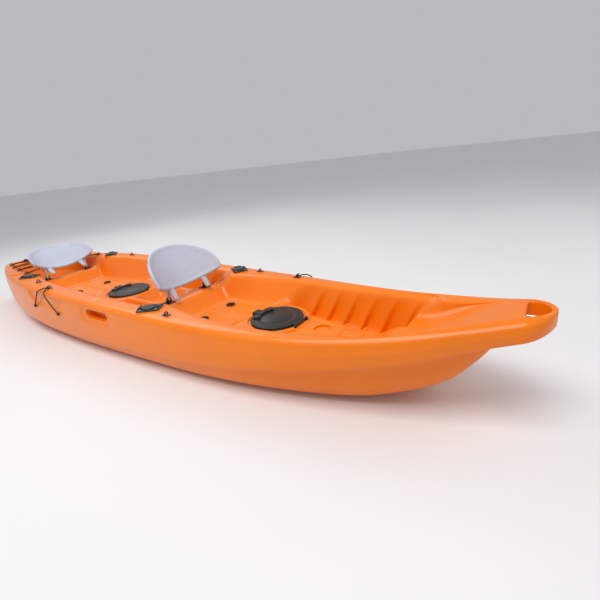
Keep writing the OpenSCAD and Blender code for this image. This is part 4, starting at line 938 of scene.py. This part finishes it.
def deckBosses():
    # pads under the rod holders, eyes, hooks and brackets, and the drain's ring
    shapes = [boss("rod", x, y, deckTop(x), -side * pockets["rodTurn"]) for x, y, side in rodPlaces]
    shapes += [boss("eye", x, s * y, deckTop(x)) for x, y in eyePlaces + laceEyes for s in bothSides]
    shapes += [boss("eye", x, side * y, deckTop(x)) for x, y, side in keeperPlaces]
    shapes += [boss("bracket", row["x"], s * row["arm"], hullLines["bulkhead"])
               for row in rests for s in bothSides]
    lift = deckTop(pockets["drainX"]) + bossShape["rise"]
    return shapes + [turned(np.array(drainRing) + [0, lift], (pockets["drainX"], 0, 0), 64)]


orangePiece("deckBosses", deckBosses(), [drilled("rodBoss", rodPlace(*spot)) for spot in rodPlaces])
rims = [turned(np.array(scupperRing) + [0, z], (x, s * y, 0), 40)
        for x, y, z in scupperPlaces for s in bothSides]
orangePiece("scupperRims", rims)
skegShape = {"aft": -1738, "fore": -1656, "low": 62, "halfHeight": 32, "halfWidth": 22, "round": 16,
             "bevel": 5}
skegPlace = at(0.5 * (skegShape["aft"] + skegShape["fore"]), 0,
               skegShape["low"] + skegShape["halfHeight"], 0, 0, 90)
skegPlan = roundedBox(0.5 * (skegShape["fore"] - skegShape["aft"]), skegShape["halfHeight"],
                      skegShape["round"])
skegSides = (-skegShape["halfWidth"], skegShape["halfWidth"])
orangePiece("skeg", [pad(skegPlan, *skegSides, skegShape["bevel"], skegPlace, True)])
restTabs = {"x": (-1158, -1104), "y": 262, "plan": (13, 31, 5), "deep": 14, "rise": 6.5, "bevel": 3,
            "turn": 14}
tabPlaces = [at(x, s * restTabs["y"], deckTop(x), s * restTabs["turn"])
             for x in restTabs["x"] for s in bothSides]
tab = (roundedBox(*restTabs["plan"]), -restTabs["deep"], restTabs["rise"], restTabs["bevel"])
orangePiece("paddleRestTabs", [pad(*tab, place) for place in tabPlaces])
frameLine = {"x": 1213, "halfX": 46, "halfY": 31, "width": 3.5, "corner": 1.2, "deep": 3, "rise": 1.8,
             "bevel": 1}


def embossedFrame():
    # four thin bars round a rectangle
    halfX, halfY, w, corner = (frameLine[key] for key in ("halfX", "halfY", "width", "corner"))
    long, short = roundedBox(halfX, w / 2, corner), roundedBox(w / 2, halfY, corner)
    places = [(long, 0, halfY), (long, 0, -halfY), (short, halfX, 0), (short, -halfX, 0)]
    return [pad(plan, -frameLine["deep"], frameLine["rise"], frameLine["bevel"],
                at(frameLine["x"] + dx, dy, hullLines["hatchDeck"])) for plan, dx, dy in places]


orangePiece("embossedFrame", embossedFrame())
print("collars, bosses and trim made")

lidShape = {"radius": 118.0, "low": 180.6, "under": 186.3, "edge": 189.3, "step": 192.3, "top": 193.3,
            "hinge": 127.0, "pinZ": 189.3, "half": 36.0, "latch": -74.0, "latchY": 24.5, "latchZ": 197.5,
            "grip": 202.0, "knuckle": (2.1, 4.4, 5, 0.6)}
gripShape = {"fore": 17, "aft": 42, "outer": 104, "innerX": 70, "innerY": 79.04, "bevel": 3.4}


def hatchLid(hatch):
    # a skirted disc with a stepped rim and two fine rings, a hinge leaf, latch ears and two raised grips
    x, r, low, under, edge, step, top, half = (
        hatch["x"], *(lidShape[key] for key in ("radius", "low", "under", "edge", "step", "top", "half")))
    disc = [(0, under), (r - 4, under), (r - 4, low), (r - 0.7, low), (r, low + 0.7), (r, edge),
            (r - 1.2, edge + 1.9), (r - 3.5, step), (r - 13, step), (r - 14, step - 0.3), (r - 15, step),
            (r - 17, top), (r - 40, top), (r - 41, top - 0.6), (r - 43, top - 0.6), (r - 44, top), (0, top)]
    hinge, pinZ = x + lidShape["hinge"], lidShape["pinZ"]
    leaf = pad(roundedBox(9, half, 1), pinZ - 3, pinZ + 3, 1.2, at(hinge - 9, 0, 0))
    knuckle = sleeve(*lidShape["knuckle"], half, at(hinge, 0, pinZ, 0, 0, 90), 32)
    shapes = [turned(disc, (x, 0, 0), 144), leaf, knuckle]
    for s in bothSides:
        earPlace = at(x + lidShape["latch"], s * lidShape["latchY"], lidShape["latchZ"] - 1.5, 0, 0, 90)
        shapes.append(pad(roundedBox(4, 5.5, 3.6), -4, 4, 0.8, earPlace, True))
        arc = np.radians(180 - s * np.linspace(gripShape["fore"], gripShape["aft"], 18))
        outer = gripShape["outer"] * np.stack([np.cos(arc), np.sin(arc)], -1)
        inner = np.stack([gripShape["innerX"] * np.cos(arc), gripShape["innerY"] * np.sin(arc)], -1)[::-1]
        plan = np.vstack([outer, inner])[::-s]
        shapes.append(pad(softLoop(plan, 3), top - 2, lidShape["grip"], gripShape["bevel"], at(x, 0, 0)))
    return shapes


def ridingPiece(name, shapes, slot, body):
    # stands for a node on a body of the same name
    piece = assemble(name, shapes, finishOf[slot], body)
    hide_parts(body)


for hatch, end in zip(hatchPlaces, ends):
    ridingPiece(end + "Lid", hatchLid(hatch), "black_plastic", end + "_hatch_lid")

capShape = {"radius": 33.0, "flat": 0.62, "inner": 0.55, "low": 5.4, "high": 11.5, "hinge": -44.0,
            "pinZ": 9.0, "half": 11.0, "leaf": (8, 11), "lip": (7, 12, 5), "lipHigh": 3.4,
            "lipBevel": 1.4, "knuckle": (1.85, 3.1, 3.5, 0.5)}


def rodCap():
    # a low dome with a finger lip at the far side from its hinge, and a leaf to the pin
    r, low, high, half, flat = (capShape[key] for key in ("radius", "low", "high", "half", "flat"))
    turn = np.radians(np.linspace(0, 90, 9))
    dome = [(r * flat + r * (1 - flat) * math.cos(a), low + 2 + (high - low - 2) * math.sin(a))
            for a in turn]
    inner = [(r * capShape["inner"], high - 0.8), (0, high - 0.8)]
    leaf = pad(roundedBox(14, half, 2), *capShape["leaf"], 1, at(capShape["hinge"] + 12, 0, 0))
    lipTop = low + capShape["lipHigh"]
    lip = pad(roundedBox(*capShape["lip"]), low, lipTop, capShape["lipBevel"], at(r + 1, 0, 0))
    pin = at(capShape["hinge"], 0, capShape["pinZ"], 0, 0, 90)
    profile = [(0, low), (r - 0.8, low), (r, low + 0.8)] + dome + inner
    return [turned(profile, (0, 0, 0), 72), leaf, lip, sleeve(*capShape["knuckle"], half, pin, 24)]


for x, y, side in rodPlaces:
    hand = ("rear" if x < 0 else "front") + ("_port" if side > 0 else "_starboard")
    spot = at(x, y, deckTop(x) + bossShape["rise"], -side * pockets["rodTurn"])
    ridingPiece(hand + "_rodCap", moved(rodCap(), spot), "black_plastic", hand + "_rod_cap")
print("lids and rod caps made")

restShape = {"low": 28.0, "height": 232.0, "radius": 202.0, "thick": 22.0, "bend": 272.0, "offset": 12.0,
             "notch": 5.0, "notchAt": (40, 140), "notchWidth": 1.3, "roll": 9, "middle": 120.0,
             "hingeZ": 243}
# how far in from the edge each ring of the face lies, and how deep
faceRings = ((0.05, 0.0), (0.085, 0.5), (0.11, 1.3), (0.14, 1.7), (0.22, 1.8), (0.35, 1.9), (0.5, 2.0),
             (0.65, 2.0), (0.8, 2.0), (0.92, 2.0))
backRings = ((0.06, 0.2), (0.2, 0.4), (0.5, 0.4), (0.85, 0.4))
footShape = {"y": 105, "low": -29, "high": 40, "narrow": 11, "widen": 6, "tip": 10.6, "tipZ": -25,
             "tipRound": 4, "front": 3, "back": 19, "bevel": 4}
armShape = {"set": 8, "half": 6, "bevel": 1.6, "low": 30, "high": 84, "eye": (4.1, 8.2, 9, 0.8)}


def restOutline():
    # a straight foot and a round head, softened at the corners, with a small notch in each shoulder
    low, size, headSteps, footSteps = restShape["low"], restShape["radius"], 220, 90
    middle = low + restShape["height"] - size
    start = math.degrees(math.asin((low - middle) / size))
    turn = np.linspace(start, 180 - start, headSteps)
    notches = (np.exp(-((turn - c) / restShape["notchWidth"]) ** 4) for c in restShape["notchAt"])
    radius = size - sum(restShape["notch"] * notch for notch in notches)
    head = np.stack([radius * np.cos(np.radians(turn)), middle + radius * np.sin(np.radians(turn))], -1)
    foot = np.stack([np.linspace(head[-1, 0], head[0, 0], footSteps)[1:-1], np.full(footSteps - 2, low)], -1)
    loop = np.vstack([head, foot])
    near = np.arange(-9, 10)
    corner = np.concatenate([near, near + headSteps - 1]) % len(loop)
    for _ in range(14):
        loop[corner] = softLoop(loop, 1)[corner]
    return loop


def restPlate():
    # rings pulled in from the outline over a round edge to a dished face, bent about an upright line
    loop = restOutline()
    n, half, middle = len(loop), restShape["thick"] / 2, np.array([0.0, restShape["middle"]])
    inward = inwardOf(loop)
    edge = [(loop + inward * restShape["roll"] * (1 - math.cos(a)), half * math.sin(a))
            for a in np.radians(np.linspace(0, 90, 7))]
    start = edge[-1][0]
    face, back = ([(start + (middle - start) * share, half - sink) for share, sink in rings]
                  for rings in (faceRings, backRings))
    rows = [(plan, -h) for plan, h in (edge + face)[::-1]] + (edge + back)[1:]
    plan = np.vstack([plan for plan, _ in rows] + [middle, middle])
    hubs = [faceRings[-1][1] - half, half - backRings[-1][1]]
    height = np.concatenate([np.full(n, h) for _, h in rows] + [hubs])
    centre = restShape["offset"] + restShape["bend"] + restShape["thick"]
    radius = restShape["bend"] + half + height
    points = np.stack([centre - np.sqrt(radius ** 2 - plan[:, 0] ** 2), plan[:, 0], plan[:, 1]], -1)
    return points, facesOut(points, hubbedFaces(len(rows), n))


def backX(y):
    # the bent plate's rear face
    outer = restShape["bend"] + restShape["thick"]
    return restShape["offset"] + outer - math.sqrt(outer ** 2 - y * y)


def restFoot():
    # a tapering bar with a round tip
    low, high = footShape["low"], footShape["high"]
    rise = np.linspace(low, high, 20)
    width = footShape["narrow"] + footShape["widen"] * (rise - low) / (high - low)
    tip = np.radians(np.linspace(200, 340, 12))
    rounding = [footShape["tip"] * np.cos(tip), footShape["tipZ"] + footShape["tipRound"] * np.sin(tip)]
    left, right = (np.stack([s * width, rise], -1) for s in bothSides)
    return np.vstack([left[2:], right[::-1][:-2], np.stack(rounding, -1)])


def restArm(y):
    # four corners from the hinge eye to the back of the plate, joined by even steps and softened
    x = backX(y) + armShape["set"]
    corners = np.array([(0, -8), (x, armShape["low"]), (x, armShape["high"]), (-4, 7)], float)
    s = np.linspace(0, 1, 12, endpoint=False)[:, None]
    return softLoop(np.vstack([a + (b - a) * s for a, b in zip(corners, np.roll(corners, -1, 0))]), 2)


def backrest(row):
    # the plate, two round-ended feet and two hinge arms with eyes
    shapes = [restPlate()]
    # plan x goes across, plan y goes up, and height goes fore
    upright = Matrix(((0, 0, 1, 0), (1, 0, 0, 0), (0, 1, 0, 0), (0, 0, 0, 1)))
    back, half = backX(footShape["y"]), armShape["half"]
    footFront, footBack = back + footShape["front"], back + footShape["back"]
    for s in bothSides:
        place = Matrix.Translation((0, s * footShape["y"], 0)) @ upright
        shapes.append(pad(restFoot(), footFront, footBack, footShape["bevel"], place, True))
        place = at(0, s * row["arm"], 0, 0, 0, 90)
        shapes.append(pad(restArm(row["arm"]), -half, half, armShape["bevel"], place, True))
        shapes.append(sleeve(*armShape["eye"], half, place, 40))
    return moved(shapes, at(row["x"], 0, restShape["hingeZ"], 0, -row["lean"]))


for row in rests:
    ridingPiece(row["end"] + "Backrest", backrest(row), "rest_grey", row["end"] + "_backrest")
print("backrests made")

cordShape = {"radius": 3.0, "sides": 12, "wrap": 6.0, "rise": 3.6, "tail": 17.0, "loop": 8.0,
             "height": 10.0, "pull": 5, "knot": 3.4, "knotRadius": 2.7, "keeperHalf": 145}
# eye, side, way round it, and whether the next run passes over or under
lacing = [(3, 1, 1, 1), (2, -1, 1, -1), (1, 1, 1, 1), (0, -1, 1, 0), (0, 1, -1, -1), (1, -1, -1, 1),
          (2, 1, -1, -1), (3, -1, -1, 0)]
# share of the keeper's half length, distance off the side, and height from the gunwale
keeperRows = [(0.93, 5, -97), (0.7, 5, -68), (0.42, 5, -32), (0.24, 0, -5), (0.1, -22, 7)]


def eyeTurn(x, y, side, start, pull):
    # five points round a leg of an eye, from its fore (1) or aft (-1) side
    w, out = cordShape["wrap"], pull * cordShape["pull"]
    q = np.array([x, side * y + pull * cordShape["loop"], deckTop(x) + cordShape["height"]])
    steps = [(start * w, out), (start * 0.75 * w, -pull * 0.66 * w), (0, -pull * w),
             (-start * 0.75 * w, -pull * 0.66 * w), (-start * w, out)]
    return [q + np.array([dx, dy, 0]) for dx, dy in steps]


def knot(centre):
    # a tube along a trefoil
    t, sides = np.linspace(0, 2 * np.pi, 72, endpoint=False), 10
    trefoil = np.stack([np.sin(t) + 2 * np.sin(2 * t), np.cos(t) - 2 * np.cos(2 * t), -np.sin(3 * t)], -1)
    route = trefoil * (cordShape["knot"] / 3) + centre
    ahead = unit(np.roll(route, -1, 0) - np.roll(route, 1, 0))
    side = unit(np.cross(ahead, np.array([0.0, 0.0, 1.0])))
    points = ringsAlong(route, ahead, side, cordShape["knotRadius"], sides)
    return points, facesOut(points, gridFaces(len(route), sides, True, True).tolist())


def lacingRoute():
    # round each eye in turn, and between eyes three points that pass over or under
    turns = [eyeTurn(*laceEyes[eye], side, start, -side) for eye, side, start, _ in lacing]
    route = [turns[0][0] - [0, lacing[0][1] * cordShape["tail"], 0]]
    for k, loop in enumerate(turns):
        route += loop
        if k + 1 < len(turns):
            gap, lift = turns[k + 1][0] - loop[4], lacing[k][3] * cordShape["rise"]
            route += [loop[4] + gap * share + np.array([0, 0, lift * math.sin(math.pi * share)])
                      for share in (0.25, 0.5, 0.75)]
    return np.array(route + [turns[-1][4] - [0, lacing[-1][1] * cordShape["tail"], 0]])


def keeperRoute(x, y, side):
    # from an eyelet up the side, round the hook, and down to the other eyelet
    def point(way, share, off, up):
        px = x + way * (cordShape["wrap"] + (cordShape["keeperHalf"] - cordShape["wrap"]) * share)
        return np.array([px, side * (float(halfBreadth(np.array(px))) + off), deckTop(px) + up])
    down = [point(1, *row) for row in keeperRows[::-1]]
    return np.array([point(-1, *row) for row in keeperRows] + eyeTurn(x, y, side, -1, side) + down)


def cord(name, route, node, knots=()):
    print(name, "length in millimetres:", round(float(stepLengths(route).sum())))
    made = tube(name, route, cordShape["radius"], cordBlack, cordShape["sides"], "hull", knots)
    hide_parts(node)


route = lacingRoute()
cord("tankwellLacing", smoothRoute(route, 7), "tankwell_bungee", [knot(route[0]), knot(route[-1])])
for spot, hand in zip(keeperPlaces, ("starboard", "port")):
    cord(hand + "PaddleKeeper", smoothRoute(keeperRoute(*spot), 8), hand + "_paddle_bungee")
print("cords made")

# the photographed frame is 600 pixels wide, and focal is in those pixels
viewpoint = {"place": (1.810, -1.140, 0.834), "focal": 367.2, "frame": 600, "sensor": 36.0,
             "rollDegrees": -6.29, "yaw": 125.94, "pitch": -21.19}
# place, target, size and power
lamps = {"key": ((0.6, -1.9, 4.6), (0, 0, 0.1), (3.4, 2.4), 150),
         "fill": ((3.6, 2.4, 3.0), (0, 0, 0.1), (2.5, 2.5), 22),
         "rim": ((-3.2, 1.6, 3.2), (0, 0, 0.2), (3.0, 1.4), 34)}
floorLook = {"half": 60, "drop": 0.001, "dark": (0.80, 0.80, 0.80, 1), "pale": (0.83, 0.83, 0.83, 1),
             "roughness": 0.75}
skyLook = {"Color": (0.97, 0.98, 1.0, 1), "Strength": 0.5}


def aimed(place, sight):
    # a place that looks along a line of sight, with its top up
    return Matrix.Translation(place) @ Vector(sight).to_track_quat("-Z", "Y").to_matrix().to_4x4()


def photoCamera():
    # yaw and pitch give the line of sight, and the camera is rolled about it
    yaw, pitch, roll = (math.radians(viewpoint[key]) for key in ("yaw", "pitch", "rollDegrees"))
    sight = (math.cos(pitch) * math.cos(yaw), math.cos(pitch) * math.sin(yaw), math.sin(pitch))
    lens = bpy.data.cameras.new("photoCamera")
    lens.sensor_width, lens.sensor_fit = viewpoint["sensor"], "HORIZONTAL"
    lens.lens = viewpoint["sensor"] * viewpoint["focal"] / viewpoint["frame"]
    lens.clip_start, lens.clip_end = 0.05, 60
    camera = linked("photoCamera", lens)
    camera.matrix_world = aimed(viewpoint["place"], sight) @ Matrix.Rotation(roll, 4, "Z")
    bpy.context.scene.camera = camera


def softLight(name, place, target, size, power):
    data = bpy.data.lights.new(name, "AREA")
    data.shape, data.size, data.size_y, data.energy = "RECTANGLE", size[0], size[1], power
    linked(name, data).matrix_world = aimed(place, Vector(target) - Vector(place))


def paleFloor():
    # a wide sheet just under the hull
    shade = Shade("paleFloor", Specular_IOR_Level=0.2)
    cloud = shade.grey(shade.noise(0.8, 3), 0.3, 0.7)
    tint = shade.mix(cloud, floorLook["dark"], floorLook["pale"])
    look = shade.feed(Base_Color=tint, Roughness=cloud * 0.1 + floorLook["roughness"])
    half, z = floorLook["half"], -floorLook["drop"]
    mesh = bpy.data.meshes.new("floor")
    corners = [(-half, -half, z), (half, -half, z), (half, half, z), (-half, half, z)]
    mesh.from_pydata(corners, [], [(0, 1, 2, 3)])
    mesh.materials.append(look)
    linked("floor", mesh)


photoCamera()
paleFloor()
for name, lamp in lamps.items():
    softLight(name, *lamp)
studio = bpy.data.worlds.new("studio")
studio.use_nodes = True
for socketName, value in skyLook.items():
    studio.node_tree.nodes["Background"].inputs[socketName].default_value = value
bpy.context.scene.world = studio
bpy.context.scene.view_settings.view_transform = "Standard"
print("camera, light and floor ready")
